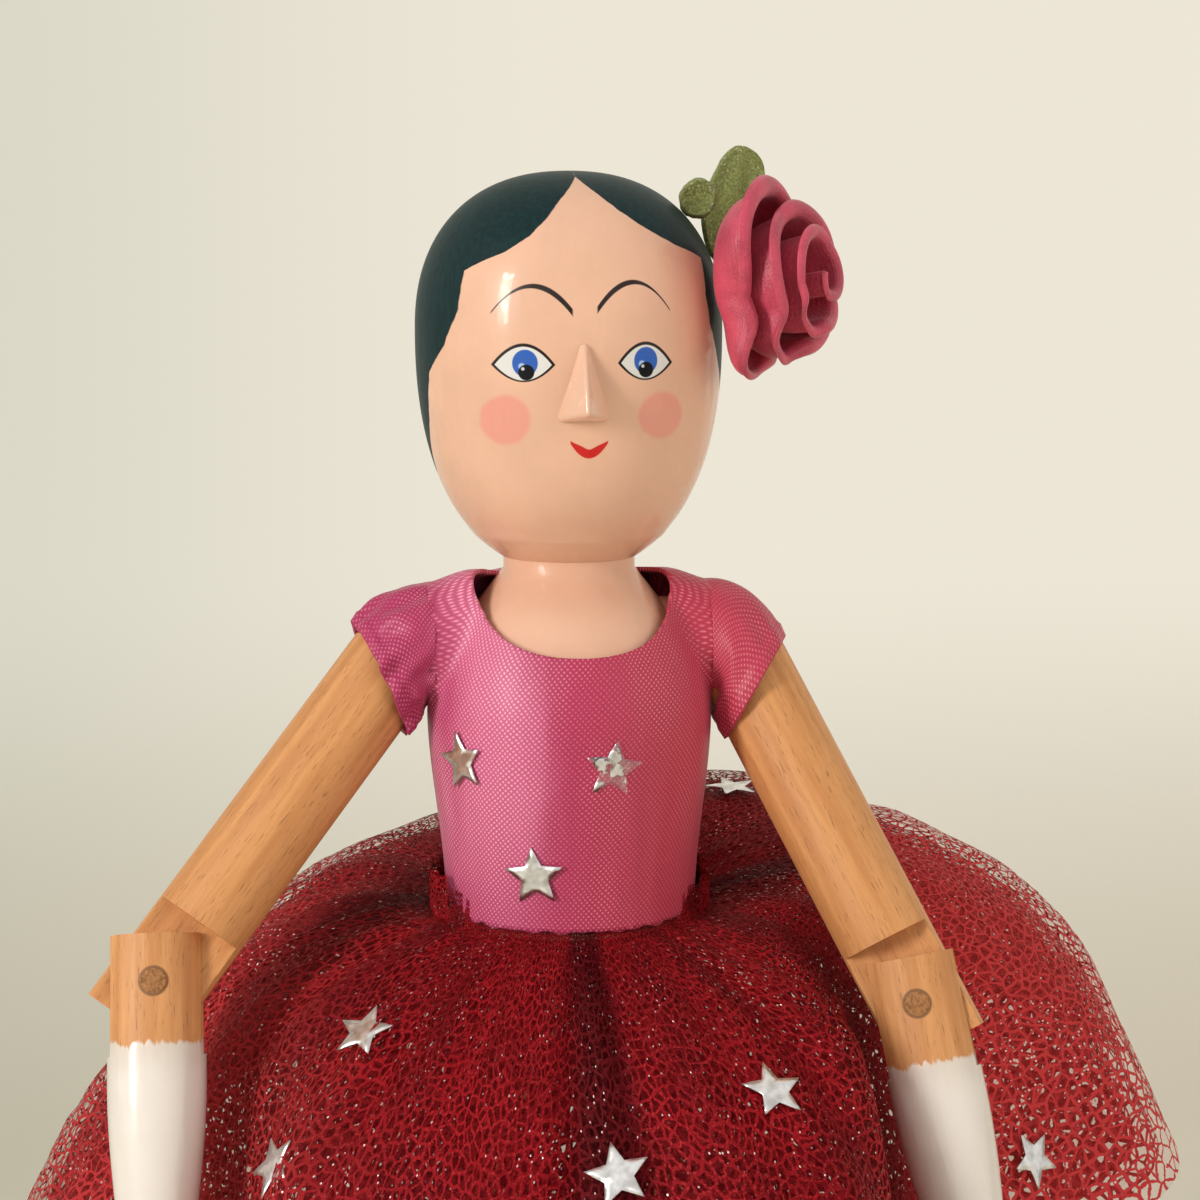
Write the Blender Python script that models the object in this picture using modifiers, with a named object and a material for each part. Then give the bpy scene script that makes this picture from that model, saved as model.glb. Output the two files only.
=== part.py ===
"""A turned and jointed wooden doll in a satin bodice and a gathered net skirt.

The doll stands on the floor at Z = 0 and faces -Y. Left and right are the doll's own, so its left is at +X.
Sizes are in metres and angles in degrees.
"""

import math

import bmesh
import bpy
from mathutils import Matrix, Vector

# Place of the body's axis, so that the origin lies under the middle of the skirt's spread
AXIS_PLACE = (-0.0056, -0.0087, 0)

# Heights along the body
LOWER_LEG = 0.092
THIGH = 0.082
HIP_TO_WAIST = 0.022
CHEST_HEIGHT = 0.026
SHOULDER_HEIGHT = 0.035
NECK_HEIGHT = 0.045
NECK_LENGTH = 0.0015

# The turned head and body
HEAD_RADIUS = 0.0204
HEAD_RISE = 0.021
HEAD_DROP = 0.032
HEAD_POWER = 2.3
NECK_RADIUS = 0.00885
CHEST_RADIUS = 0.0179
WAIST_RADIUS = 0.0158
HIP_RADIUS = 0.0170
HIP_DROP = 0.011
NECK_FLARE_POWER = 0.6
SHOULDER_HALF_SPAN = 0.0218
SHOULDER_RADIUS = 0.0065
HIP_BLOCK_RADIUS = 0.0074
HIP_BLOCK_HALF_WIDTH = 0.0172

# Nose wedge
NOSE_HEIGHT = 0.0098
NOSE_HALF_WIDTH = 0.0040
NOSE_STAND = 0.0042
NOSE_BELOW_BROW = 0.0112
NOSE_EDGE = 0.0003

# Arms: the angles are of the upper arm and the forearm from straight down, in the plane of the arm
ARM_RADIUS = 0.00625
UPPER_ARM = 0.055
FOREARM = 0.058
HAND_LENGTH = 0.0145
HAND_RADIUS = 0.0050
HAND_THICKNESS = 0.0052
WRIST_RADIUS = 0.0040
ARM_TONGUE = 0.0046
SHOULDER_TONGUE_HALF = 0.0043
SHOULDER_TO_DOWEL = 0.0074
ELBOW_END = 0.0060
ARM_POSES = {
    "left": {"side": 1, "splay": 30, "forearm": 14, "forward": 16, "turn": -18, "sleeve": 0.0088},
    "right": {"side": -1, "splay": 37, "forearm": 0, "forward": 20, "turn": 0, "sleeve": 0.0068},
}

# Legs
LEG_RADIUS = 0.0075
LEG_HALF_GAP = 0.0105
LEG_TONGUE = 0.0056
KNEE_END = 0.0066
CALF_RADIUS = 0.0078
ANKLE_RADIUS = 0.0047
FOOT_HALF_LENGTH = 0.0135
FOOT_HALF_WIDTH = 0.0072
FOOT_HEIGHT = 0.0115
FOOT_FORWARD = 0.0035

# Pegs and fits
PEG_RADIUS = 0.0017
HIP_PEG_RADIUS = 0.0016
PEG_FIT = 0.0001
GAP = 0.0003
PLAY = 0.0005

# Bodice and sleeves
CLOTH_GAP = 0.0005
SATIN = 0.0009
BODICE_TOP = 0.0420
BODICE_HEM = 0.0010
ARMHOLE = 0.0192
NECKLINE = (0.0142, 0.0140, 0.0200)
NECKLINE_FORWARD = 0.007
NECKLINE_HEIGHT = 0.049
SLEEVE_FLARE = 0.0008
SLEEVE_GAP = 0.0006

# Net skirt: each layer springs from the waist at an angle and bends down along its length
NET = 0.0006
NET_LENGTH = 0.104
NET_SPRING = 22
NET_SPRING_BACK = 33
NET_SPRING_LEFT = -3
NET_HEM_ANGLE = -72
NET_BEND_POWER = 0.56
NET_BEND_LEFT = 0.42
NET_FROM_ARM = 0.0038
NET_DENT = 0.095
NET_SOFTNESS = 0.013
FOLD_DEPTH = 0.0036
FOLD_COUNTS = (11, 7)
FOLD_SHARES = (0.65, 0.35)
SKIRT_LAYERS = {
    "skirt_outer": {"inset": 0.0, "length": 1.0, "drop": 0.0},
    "skirt_under": {"inset": 0.0042, "length": 0.93, "drop": 0.0026},
}
NET_COLUMNS = 56
NET_ROWS = 7

# Ribbon rose and leaves on the hair
ROSE_AXIS = (0.95, -0.31, -0.05)
ROSE_HEIGHT = 0.0065
ROSE_TURNS = 3.25
ROSE_CORE = 0.0014
ROSE_RADIUS = 0.0108
ROSE_DEPTH = 0.0125
ROSE_RIM_DROP = 0.0045
ROSE_FLARE = 0.36
ROSE_PETALS = 5
ROSE_WAVE = 0.0007
RIBBON = 0.0005
LEAVES = {
    "leaf_large": {"size": (0.0011, 0.0042, 0.0080), "rise": 30, "back": 14, "lean": 72},
    "leaf_small": {"size": (0.0010, 0.0023, 0.0025), "rise": 47, "back": -6, "lean": 55},
}

# Foil stars: height above the waist and turn from the front on the bodice, turn and run down the net on the skirt
STAR_RADIUS = 0.0041
STAR_NOTCH = 0.46
FOIL = 0.00025
BODICE_STARS = ((0.0210, -53, 12), (0.0210, 11, -8), (0.0065, -21, 5))
SKIRT_STARS = (
    (-50, 0.022, 8),
    (-51, 0.042, -20),
    (1, 0.038, 15),
    (27, 0.031, -6),
    (82, 0.088, 24),
    (136, 0.025, 4),
)

# Facets
TURNED_STEPS = 32
DOWEL_STEPS = 24
PEG_STEPS = 16
HEAD_POINTS = 8
BODY_POINTS = 12

HIP_Z = LOWER_LEG + THIGH
WAIST_Z = HIP_Z + HIP_TO_WAIST
HEAD_Z = WAIST_Z + NECK_HEIGHT + NECK_LENGTH + HEAD_DROP * (
    1 - (NECK_RADIUS / HEAD_RADIUS) ** HEAD_POWER
) ** (1 / HEAD_POWER)
TONGUE_REACH = math.hypot(ARM_RADIUS, ELBOW_END) + PLAY
KNEE_REACH = math.hypot(LEG_RADIUS, KNEE_END) + PLAY
SHOULDER_REACH = SHOULDER_RADIUS + PLAY
HIP_REACH = HIP_BLOCK_RADIUS + PLAY


def new_collection(name, hidden=False):
    collection = bpy.data.collections.new(name)
    bpy.context.scene.collection.children.link(collection)
    collection.hide_render = hidden
    return collection


def new_material(name, color, roughness, metallic=0.0, coat=0.0):
    material = bpy.data.materials.new(name)
    material.use_nodes = True
    shader = material.node_tree.nodes["Principled BSDF"]
    shader.inputs["Base Color"].default_value = (*color, 1)
    shader.inputs["Roughness"].default_value = roughness
    shader.inputs["Metallic"].default_value = metallic
    shader.inputs["Coat Weight"].default_value = coat
    material.diffuse_color = (*color, 1)
    return material


for old in list(bpy.data.objects):
    bpy.data.objects.remove(old, do_unlink=True)
PARTS = new_collection("wooden_doll")
CUTTERS = new_collection("cutters", hidden=True)


def add_object(name, data, material=None, parent=None, matrix=None):
    """A part if it has a material, and otherwise a hidden cutter."""
    thing = bpy.data.objects.new(name, data)
    if material:
        PARTS.objects.link(thing)
        data.materials.append(material)
    else:
        CUTTERS.objects.link(thing)
        thing.hide_render = True
        thing.display_type = "WIRE"
    thing.parent = parent
    if matrix:
        thing.matrix_local = matrix
    return thing


def add_empty(name, matrix, parent=None):
    empty = bpy.data.objects.new(name, None)
    empty.empty_display_size = 0.01
    PARTS.objects.link(empty)
    empty.parent = parent
    empty.matrix_local = matrix
    return empty


def mesh_from(shape, name):
    bmesh.ops.recalc_face_normals(shape, faces=shape.faces)
    mesh = bpy.data.meshes.new(name)
    shape.to_mesh(mesh)
    shape.free()
    mesh.shade_smooth()
    mesh.set_sharp_from_angle(angle=math.radians(35))
    return mesh


def cylinder(name, radius, length, material=None, parent=None, matrix=None, steps=DOWEL_STEPS):
    """A cylinder along Z, centred on its origin."""
    shape = bmesh.new()
    bmesh.ops.create_cone(shape, cap_ends=True, segments=steps, radius1=radius, radius2=radius, depth=length)
    return add_object(name, mesh_from(shape, name), material, parent, matrix)


def box(name, low, high, parent=None, matrix=None, rounding=0):
    """A cutter box between two corners, whose two lower edges along X may be rounded."""
    shape = bmesh.new()
    bmesh.ops.create_cube(shape, size=1)
    low, high = Vector(low), Vector(high)
    bmesh.ops.scale(shape, vec=high - low, verts=shape.verts)
    bmesh.ops.translate(shape, vec=(low + high) / 2, verts=shape.verts)
    if rounding:
        below = [edge for edge in shape.edges if all(v.co.z < (low.z + high.z) / 2 for v in edge.verts)]
        along = [edge for edge in below if abs(edge.verts[0].co.y - edge.verts[1].co.y) < rounding]
        bmesh.ops.bevel(
            shape, geom=along, offset=rounding, segments=6, profile=0.5, affect="EDGES", clamp_overlap=True
        )
    return add_object(name, mesh_from(shape, name), None, parent, matrix)


def ball(name, size, material=None, parent=None, matrix=None, steps=DOWEL_STEPS):
    """An ellipsoid with the three half sizes given."""
    shape = bmesh.new()
    bmesh.ops.create_uvsphere(shape, u_segments=steps, v_segments=steps // 2, radius=1)
    bmesh.ops.scale(shape, vec=size, verts=shape.verts)
    return add_object(name, mesh_from(shape, name), material, parent, matrix)


def turned(name, profile, material=None, parent=None, matrix=None, steps=TURNED_STEPS):
    """A turned piece: the profile holds (radius, height) from top to bottom, closed on the axis."""
    shape = bmesh.new()
    points = [shape.verts.new((radius, 0, height)) for radius, height in profile]
    for first, second in zip(points, points[1:]):
        shape.edges.new((first, second))
    mesh = bpy.data.meshes.new(name)
    shape.to_mesh(mesh)
    shape.free()
    thing = add_object(name, mesh, material, parent, matrix)
    screw = thing.modifiers.new("turn", "SCREW")
    screw.steps = steps
    screw.render_steps = steps
    screw.use_merge_vertices = True
    screw.merge_threshold = 0.00001
    screw.use_smooth_shade = True
    return thing


def combine(target, other, operation="DIFFERENCE"):
    modifier = target.modifiers.new(other.name, "BOOLEAN")
    modifier.operation = operation
    modifier.solver = "EXACT"
    modifier.object = other
    return target


def blend(amount):
    amount = min(max(amount, 0.0), 1.0)
    return amount * amount * (3 - 2 * amount)


ACROSS = Matrix.Rotation(math.radians(90), 4, "X")
SIDEWAYS = Matrix.Rotation(math.radians(90), 4, "Y")

WOOD = (0.62, 0.36, 0.17)
FLESH_PAINT = new_material("flesh_paint", (0.76, 0.47, 0.34), 0.22, coat=0.6)
FOREARM_PAINT = new_material("white_paint", (0.84, 0.80, 0.76), 0.15, coat=0.8)
SLIPPER_PAINT = new_material("leg_paint", (0.84, 0.80, 0.76), 0.15, coat=0.8)
BARE_WOOD = new_material("bare_wood", WOOD, 0.55)
PEG_WOOD = new_material("peg_wood", (0.50, 0.27, 0.12), 0.6)
BODICE_SATIN = new_material("bodice_satin", (0.52, 0.08, 0.24), 0.35)
CRIMSON_NET = new_material("crimson_net", (0.22, 0.005, 0.02), 0.6)
ROSE_RIBBON = new_material("rose_ribbon", (0.50, 0.06, 0.12), 0.35)
LEAF_VELVET = new_material("leaf_velvet", (0.10, 0.14, 0.04), 0.9)
STAR_FOIL = new_material("star_foil", (0.80, 0.80, 0.82), 0.15, metallic=1.0)


def body_radius(height):
    """Radius of the turned body at a height above the waist, from the neck down to the hips."""
    if height >= CHEST_HEIGHT:
        down = (NECK_HEIGHT - min(height, NECK_HEIGHT)) / (NECK_HEIGHT - CHEST_HEIGHT)
        return NECK_RADIUS + (CHEST_RADIUS - NECK_RADIUS) * blend(down**NECK_FLARE_POWER)
    if height >= 0:
        return WAIST_RADIUS + (CHEST_RADIUS - WAIST_RADIUS) * blend(height / CHEST_HEIGHT)
    return WAIST_RADIUS + (HIP_RADIUS - WAIST_RADIUS) * blend(-height / HIP_DROP)


def body_profile(top, bottom, outset, points):
    """The turned body between two heights above the waist, grown by the outset and closed on the axis."""
    heights = [top + (bottom - top) * i / (points - 1) for i in range(points)]
    side = [(body_radius(h) + outset, WAIST_Z + h) for h in heights]
    return [(0, WAIST_Z + top), *side, (0, WAIST_Z + bottom)]


def head_profile(outset=0.0):
    """The egg of the head from its crown to the neck."""
    low = math.acos(((NECK_RADIUS - outset) / HEAD_RADIUS) ** (HEAD_POWER / 2))
    upper = [math.pi / 2 * (1 - i / HEAD_POINTS) for i in range(HEAD_POINTS)]
    lower = [low * i / HEAD_POINTS for i in range(HEAD_POINTS + 1)]

    def point(angle, semi):
        radius = HEAD_RADIUS * math.cos(angle) ** (2 / HEAD_POWER) if angle < math.pi / 2 else 0
        rise = semi * abs(math.sin(angle)) ** (2 / HEAD_POWER)
        return (radius + (outset if radius else 0), HEAD_Z + math.copysign(rise, semi))

    return [point(a, HEAD_RISE + outset) for a in upper] + [point(a, -HEAD_DROP) for a in lower]


def build_head_and_body(root):
    profile = head_profile()
    profile += body_profile(NECK_HEIGHT, -HIP_DROP, 0, BODY_POINTS)[1:]
    body = turned("head_and_body", profile, FLESH_PAINT, root)
    combine(body, shoulder_bar("shoulder_bar", root, 0), "UNION")
    hip_height = Matrix.Translation((0, 0, HIP_Z))
    block = box(
        "hip_block",
        (-HIP_BLOCK_HALF_WIDTH, -HIP_BLOCK_RADIUS, HIP_Z - HIP_BLOCK_RADIUS),
        (HIP_BLOCK_HALF_WIDTH, HIP_BLOCK_RADIUS, WAIST_Z - HIP_DROP / 2),
        root,
        rounding=0.97 * HIP_BLOCK_RADIUS,
    )
    combine(body, block, "UNION")
    for side, name in ((1, "left"), (-1, "right")):
        half = LEG_TONGUE / 2 + GAP
        slot = box(
            f"hip_slot_{name}",
            (side * LEG_HALF_GAP - half, -2 * HIP_RADIUS, HIP_Z - 2 * HIP_BLOCK_RADIUS),
            (side * LEG_HALF_GAP + half, 2 * HIP_RADIUS, HIP_Z + HIP_REACH),
            root,
        )
        combine(body, slot)
    bore = cylinder(
        "hip_bore", HIP_PEG_RADIUS + PEG_FIT, 3 * HIP_BLOCK_HALF_WIDTH, None, root, hip_height @ SIDEWAYS, PEG_STEPS
    )
    combine(body, bore)
    cylinder(
        "hip_pin",
        HIP_PEG_RADIUS,
        2 * HIP_BLOCK_HALF_WIDTH,
        PEG_WOOD,
        root,
        hip_height @ SIDEWAYS,
        PEG_STEPS,
    )
    return body


def shoulder_bar(name, root, outset):
    """The round-ended bar across the shoulders, as a hidden helper."""
    radius = SHOULDER_RADIUS + outset
    arc = 8
    turns = [math.pi / 2 * i / arc for i in range(arc + 1)]
    dome = [(radius * math.sin(a), SHOULDER_HALF_SPAN + radius * math.cos(a)) for a in turns]
    height = Matrix.Translation((0, 0, WAIST_Z + SHOULDER_HEIGHT))
    profile = dome + [(r, -h) for r, h in reversed(dome)]
    half_facet = Matrix.Rotation(math.pi / DOWEL_STEPS, 4, "Z")
    return turned(name, profile, None, root, height @ SIDEWAYS @ half_facet, DOWEL_STEPS)


def build_nose(root):
    """A three-sided wedge with its flat end down, cut to sit on the face."""
    shape = bmesh.new()
    bmesh.ops.create_cone(
        shape, cap_ends=True, segments=3, radius1=NOSE_HALF_WIDTH, radius2=NOSE_HALF_WIDTH / 4, depth=NOSE_HEIGHT
    )
    bmesh.ops.rotate(shape, matrix=Matrix.Rotation(math.radians(180), 3, "Z"), verts=shape.verts)
    stand = HEAD_RADIUS + NOSE_STAND - NOSE_HALF_WIDTH
    height = HEAD_Z + HEAD_RISE / 2 - NOSE_BELOW_BROW - NOSE_HEIGHT / 2
    place = Matrix.Translation((0, -stand, height))
    lean = Matrix.Rotation(math.radians(-9), 4, "X")
    nose = add_object("nose_wedge", mesh_from(shape, "nose_wedge"), FLESH_PAINT, root, place @ lean)
    edge = nose.modifiers.new("edge", "BEVEL")
    edge.width = NOSE_EDGE
    edge.segments = 1
    head = turned("face_seat", [*head_profile(GAP), (0, HEAD_Z - HEAD_DROP)], None, root)
    return combine(nose, head)


def arm_frames(pose):
    """Frames of the shoulder and the elbow: Y lies along the pegs and Z up the dowel."""
    side = pose["side"]
    shoulder = Matrix.Translation((side * SHOULDER_HALF_SPAN, 0, WAIST_Z + SHOULDER_HEIGHT))
    shoulder = shoulder @ Matrix.Rotation(math.radians(pose["turn"]), 4, "Z")
    shoulder = shoulder @ Matrix.Rotation(math.radians(-pose["forward"]), 4, "X")
    shoulder = shoulder @ Matrix.Rotation(math.radians(-side * pose["splay"]), 4, "Y")
    elbow = Matrix.Translation((0, 0, -UPPER_ARM))
    elbow = elbow @ Matrix.Rotation(math.radians(side * (pose["splay"] - pose["forearm"])), 4, "Y")
    return shoulder, elbow


def cut_tongue(target, name, thickness, across, start, end, parent):
    """Saws both cheeks off a dowel between two heights, leaving a tongue of the thickness given."""
    wide = 2 * max(ARM_RADIUS, LEG_RADIUS)
    for side in (1, -1):
        near, far = sorted((side * thickness / 2, side * wide))
        low, high = [-wide, near, start], [wide, far, end]
        if across == "X":
            low, high = [near, -wide, start], [far, wide, end]
        combine(target, box(f"{name}_cheek_{side}", low, high, parent))


def build_arm(name, pose, body, root):
    shoulder_frame, elbow_frame = arm_frames(pose)
    shoulder = add_empty(f"shoulder_{name}_axis", shoulder_frame, root)
    elbow = add_empty(f"elbow_{name}_axis", elbow_frame, shoulder)
    wide = 2 * SHOULDER_RADIUS
    half_slot = ARM_TONGUE / 2 + GAP
    slot = cylinder(
        f"shoulder_slot_{name}", SHOULDER_REACH, 2 * half_slot, None, root, shoulder_frame @ ACROSS
    )
    bore_size = (PEG_RADIUS + PEG_FIT, 3 * wide)
    bore = cylinder(f"shoulder_bore_{name}", *bore_size, None, root, shoulder_frame @ ACROSS, PEG_STEPS)
    combine(body, combine(slot, bore, "UNION"))
    peg_length = 2 * math.sqrt(SHOULDER_RADIUS**2 - PEG_RADIUS**2)
    cylinder(f"shoulder_pin_{name}", PEG_RADIUS, peg_length, PEG_WOOD, root, shoulder_frame @ ACROSS, PEG_STEPS)

    top, bottom = SHOULDER_TONGUE_HALF, -UPPER_ARM - ELBOW_END
    middle = Matrix.Translation((0, 0, (top + bottom) / 2))
    upper = cylinder(f"upper_arm_{name}", ARM_RADIUS, top - bottom, BARE_WOOD, shoulder, middle)
    cut_tongue(upper, f"upper_arm_{name}_cheek", ARM_TONGUE, "Y", -SHOULDER_TO_DOWEL, 2 * top, shoulder)
    cut_tongue(upper, f"upper_arm_{name}_edge", 2 * top, "X", -SHOULDER_TO_DOWEL, 2 * top, shoulder)
    cut_tongue(
        upper, f"upper_arm_{name}_elbow", ARM_TONGUE, "Y", 2 * bottom, -UPPER_ARM + TONGUE_REACH, shoulder
    )
    rounder = box(f"arm_rounder_{name}", (-wide, -wide, 0), (wide, wide, 2 * wide), shoulder)
    combine(rounder, cylinder(f"arm_round_{name}", top - PEG_FIT, 3 * wide, None, shoulder, ACROSS))
    combine(upper, rounder)
    combine(upper, cylinder(f"arm_bore_{name}", *bore_size, None, shoulder, ACROSS, PEG_STEPS))
    elbow_place = Matrix.Translation((0, 0, -UPPER_ARM))
    combine(upper, cylinder(f"arm_elbow_bore_{name}", *bore_size, None, shoulder, elbow_place @ ACROSS, PEG_STEPS))

    forearm = turned(f"forearm_{name}", forearm_profile(), FOREARM_PAINT, elbow, steps=DOWEL_STEPS)
    fork = box(f"elbow_fork_{name}", (-wide, -half_slot, -TONGUE_REACH), (wide, half_slot, wide), elbow)
    combine(forearm, fork)
    for side in (1, -1):
        near, far = sorted((side * HAND_THICKNESS / 2, side * wide))
        low, high = (near, -wide, -2 * FOREARM), (far, wide, -FOREARM + HAND_LENGTH)
        combine(forearm, box(f"hand_{name}_face_{side}", low, high, elbow))
    combine(forearm, cylinder(f"elbow_bore_{name}", *bore_size, None, elbow, ACROSS, PEG_STEPS))
    elbow_peg = 2 * math.sqrt(ARM_RADIUS**2 - PEG_RADIUS**2)
    cylinder(f"elbow_pin_{name}", PEG_RADIUS, elbow_peg, PEG_WOOD, elbow, ACROSS, PEG_STEPS)
    build_sleeve(name, pose, shoulder_frame, root)


def forearm_profile():
    """Dowel end above the elbow peg, a taper to the wrist and a mitten hand."""
    wrist = -FOREARM + HAND_LENGTH
    points = [(0, ELBOW_END), (ARM_RADIUS, ELBOW_END), (ARM_RADIUS, -2 * ARM_RADIUS)]
    taper = 5
    for i in range(1, taper + 1):
        share = i / taper
        radius = ARM_RADIUS + (WRIST_RADIUS - ARM_RADIUS) * blend(share)
        points.append((radius, -2 * ARM_RADIUS + (wrist + 2 * ARM_RADIUS) * share))
    palm = 6
    for i in range(1, palm):
        share = i / palm
        swell = math.sin(math.pi * share**0.8) * (HAND_RADIUS - WRIST_RADIUS)
        radius = WRIST_RADIUS * math.sqrt(1 - share**3) + swell
        points.append((radius, wrist - HAND_LENGTH * share))
    return [*points, (0, -FOREARM)]


def build_sleeve(name, pose, shoulder_frame, root):
    """A cap of satin over the shoulder, open towards the bodice and down the arm."""
    inner = SHOULDER_RADIUS + SLEEVE_GAP
    outer = inner + SATIN
    arc = 6

    def cap(radius, below):
        turn = [math.pi / 2 * i / arc for i in range(arc + 1)]
        dome = [(radius * math.sin(a), radius * math.cos(a)) for a in turn]
        return [*dome, (radius + SLEEVE_FLARE, -below), (0, -below)]

    length = pose["sleeve"]
    sleeve = turned(f"sleeve_{name}", cap(outer, length), BODICE_SATIN, root, shoulder_frame, DOWEL_STEPS)
    hollow = turned(f"sleeve_hollow_{name}", cap(inner, length + SATIN), None, root, shoulder_frame, DOWEL_STEPS)
    combine(sleeve, hollow)
    side = pose["side"]
    wide = 4 * SHOULDER_RADIUS
    near, far = sorted((side * (ARMHOLE + GAP), -side * wide))
    low = (near, -wide, WAIST_Z + SHOULDER_HEIGHT - wide)
    high = (far, wide, WAIST_Z + SHOULDER_HEIGHT + wide)
    return combine(sleeve, box(f"sleeve_trim_{name}", low, high, root))


def build_leg(name, side, root):
    hip_frame = Matrix.Translation((side * LEG_HALF_GAP, 0, HIP_Z))
    hip = add_empty(f"hip_{name}_axis", hip_frame, root)
    knee_place = Matrix.Translation((0, 0, -THIGH))
    knee = add_empty(f"knee_{name}_axis", knee_place, hip)
    wide = 2 * LEG_RADIUS
    top, bottom = HIP_BLOCK_RADIUS - GAP, -THIGH - KNEE_END
    middle = Matrix.Translation((0, 0, (top + bottom) / 2))
    thigh = cylinder(f"thigh_{name}", LEG_RADIUS, top - bottom, BARE_WOOD, hip, middle)
    cut_tongue(thigh, f"thigh_{name}_top", LEG_TONGUE, "X", -HIP_REACH, 2 * top, hip)
    cut_tongue(thigh, f"thigh_{name}_knee", LEG_TONGUE, "X", 2 * bottom, -THIGH + KNEE_REACH, hip)
    rounder = box(f"thigh_rounder_{name}", (-wide, -wide, 0), (wide, wide, 2 * wide), hip)
    combine(rounder, cylinder(f"thigh_round_{name}", HIP_BLOCK_RADIUS - GAP, 3 * wide, None, hip, SIDEWAYS))
    combine(thigh, rounder)
    hip_bore = (HIP_PEG_RADIUS + PEG_FIT, 3 * wide)
    combine(thigh, cylinder(f"thigh_hip_bore_{name}", *hip_bore, None, hip, SIDEWAYS, PEG_STEPS))
    knee_bore = (PEG_RADIUS + PEG_FIT, 3 * wide)
    combine(thigh, cylinder(f"thigh_knee_bore_{name}", *knee_bore, None, hip, knee_place @ SIDEWAYS, PEG_STEPS))

    leg = turned(f"lower_leg_{name}", lower_leg_profile(), SLIPPER_PAINT, knee, steps=DOWEL_STEPS)
    half_slot = LEG_TONGUE / 2 + GAP
    combine(leg, box(f"knee_fork_{name}", (-half_slot, -wide, -KNEE_REACH), (half_slot, wide, wide), knee))
    combine(leg, cylinder(f"knee_bore_{name}", *knee_bore, None, knee, SIDEWAYS, PEG_STEPS))
    foot_size = (FOOT_HALF_WIDTH, FOOT_HALF_LENGTH, FOOT_HEIGHT)
    foot = ball(f"foot_{name}", foot_size, None, knee, Matrix.Translation((0, -FOOT_FORWARD, -LOWER_LEG)), 16)
    combine(leg, foot, "UNION")
    below = (-4 * wide, -4 * wide, -2 * LOWER_LEG), (4 * wide, 4 * wide, -LOWER_LEG)
    combine(leg, box(f"sole_{name}", *below, knee))
    knee_peg = 2 * math.sqrt(LEG_RADIUS**2 - PEG_RADIUS**2)
    cylinder(f"knee_pin_{name}", PEG_RADIUS, knee_peg, PEG_WOOD, knee, SIDEWAYS, PEG_STEPS)


def lower_leg_profile():
    """Dowel end above the knee peg, a slight calf and a taper to the ankle inside the foot."""
    start = -2 * LEG_RADIUS
    end = -LOWER_LEG + FOOT_HEIGHT / 2
    points = [(0, KNEE_END), (LEG_RADIUS, KNEE_END), (LEG_RADIUS, start)]
    rows = 7
    for i in range(1, rows + 1):
        share = i / rows
        taper = LEG_RADIUS + (ANKLE_RADIUS - LEG_RADIUS) * blend((share - 0.15) / 0.85)
        calf = (CALF_RADIUS - LEG_RADIUS) * math.sin(math.pi * min(1.0, 2 * share))
        points.append((taper + calf, start + (end - start) * share))
    return [*points, (0, end)]


def build_bodice(root):
    """A satin shell over the chest and shoulders, with a scoop neck and cut armholes."""
    outer = CLOTH_GAP + SATIN
    points = BODY_POINTS - 3
    bodice = turned("bodice", body_profile(BODICE_TOP, -BODICE_HEM, outer, points), BODICE_SATIN, root)
    combine(bodice, shoulder_bar("bodice_bar", root, outer), "UNION")
    past = 2 * SATIN
    hollow = turned(
        "bodice_hollow", body_profile(BODICE_TOP + past, -BODICE_HEM - past, CLOTH_GAP, points + 2), None, root
    )
    combine(bodice, hollow)
    combine(bodice, shoulder_bar("bodice_bar_hollow", root, CLOTH_GAP))
    scoop = Matrix.Translation((0, -NECKLINE_FORWARD, WAIST_Z + NECKLINE_HEIGHT))
    combine(bodice, ball("neckline", NECKLINE, None, root, scoop))
    wide = 4 * SHOULDER_RADIUS
    for side in (1, -1):
        near, far = sorted((side * ARMHOLE, side * (ARMHOLE + wide)))
        low = (near, -wide, WAIST_Z - wide)
        high = (far, wide, WAIST_Z + SHOULDER_HEIGHT + wide)
        combine(bodice, box(f"armhole_{side}", low, high, root))
    return bodice


def arm_at(pose, height):
    """Where an arm's middle passes a height, and its half width across there."""
    shoulder, elbow = arm_frames(pose)
    bend = shoulder @ elbow
    hand = bend @ Vector((0, 0, -FOREARM))
    if height > bend.translation.z:
        rise = shoulder.translation - bend.translation
        spot = bend.translation + rise * min((height - bend.translation.z) / rise.z, 1)
        return spot, ARM_RADIUS / math.cos(math.radians(pose["splay"]))
    drop = hand - bend.translation
    return bend.translation + drop * min((height - bend.translation.z) / drop.z, 1), ARM_RADIUS


def skirt_column(azimuth, layer, rows, net_length=None):
    """Points down one line of the net, at a turn from the doll's front towards its left."""
    length = NET_LENGTH * layer["length"] if net_length is None else net_length
    spring = NET_SPRING - NET_SPRING_BACK * math.cos(azimuth) + NET_SPRING_LEFT * math.sin(azimuth)
    bend = NET_BEND_POWER * math.exp(NET_BEND_LEFT * math.sin(azimuth))
    turns = zip(FOLD_COUNTS, FOLD_SHARES)
    fold = -sum(share * math.cos(count * azimuth) for count, share in turns)
    radius = WAIST_RADIUS + CLOTH_GAP + SATIN
    height = WAIST_Z - BODICE_HEM - GAP - NET - layer["drop"]
    fine = 6 * rows
    points = []
    for step in range(fine + 1):
        run = length * step / fine
        if step % 6 == 0:
            share = run / NET_LENGTH
            out = radius + FOLD_DEPTH * fold * blend(share / 0.6) - layer["inset"] * blend(share / 0.4)
            points.append(pressed(azimuth, out, height, layer["inset"]))
        angle = spring + (NET_HEM_ANGLE - spring) * ((run + length / fine / 2) / NET_LENGTH) ** bend
        radius += math.cos(math.radians(angle)) * length / fine
        height += math.sin(math.radians(angle)) * length / fine
    return points


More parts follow.
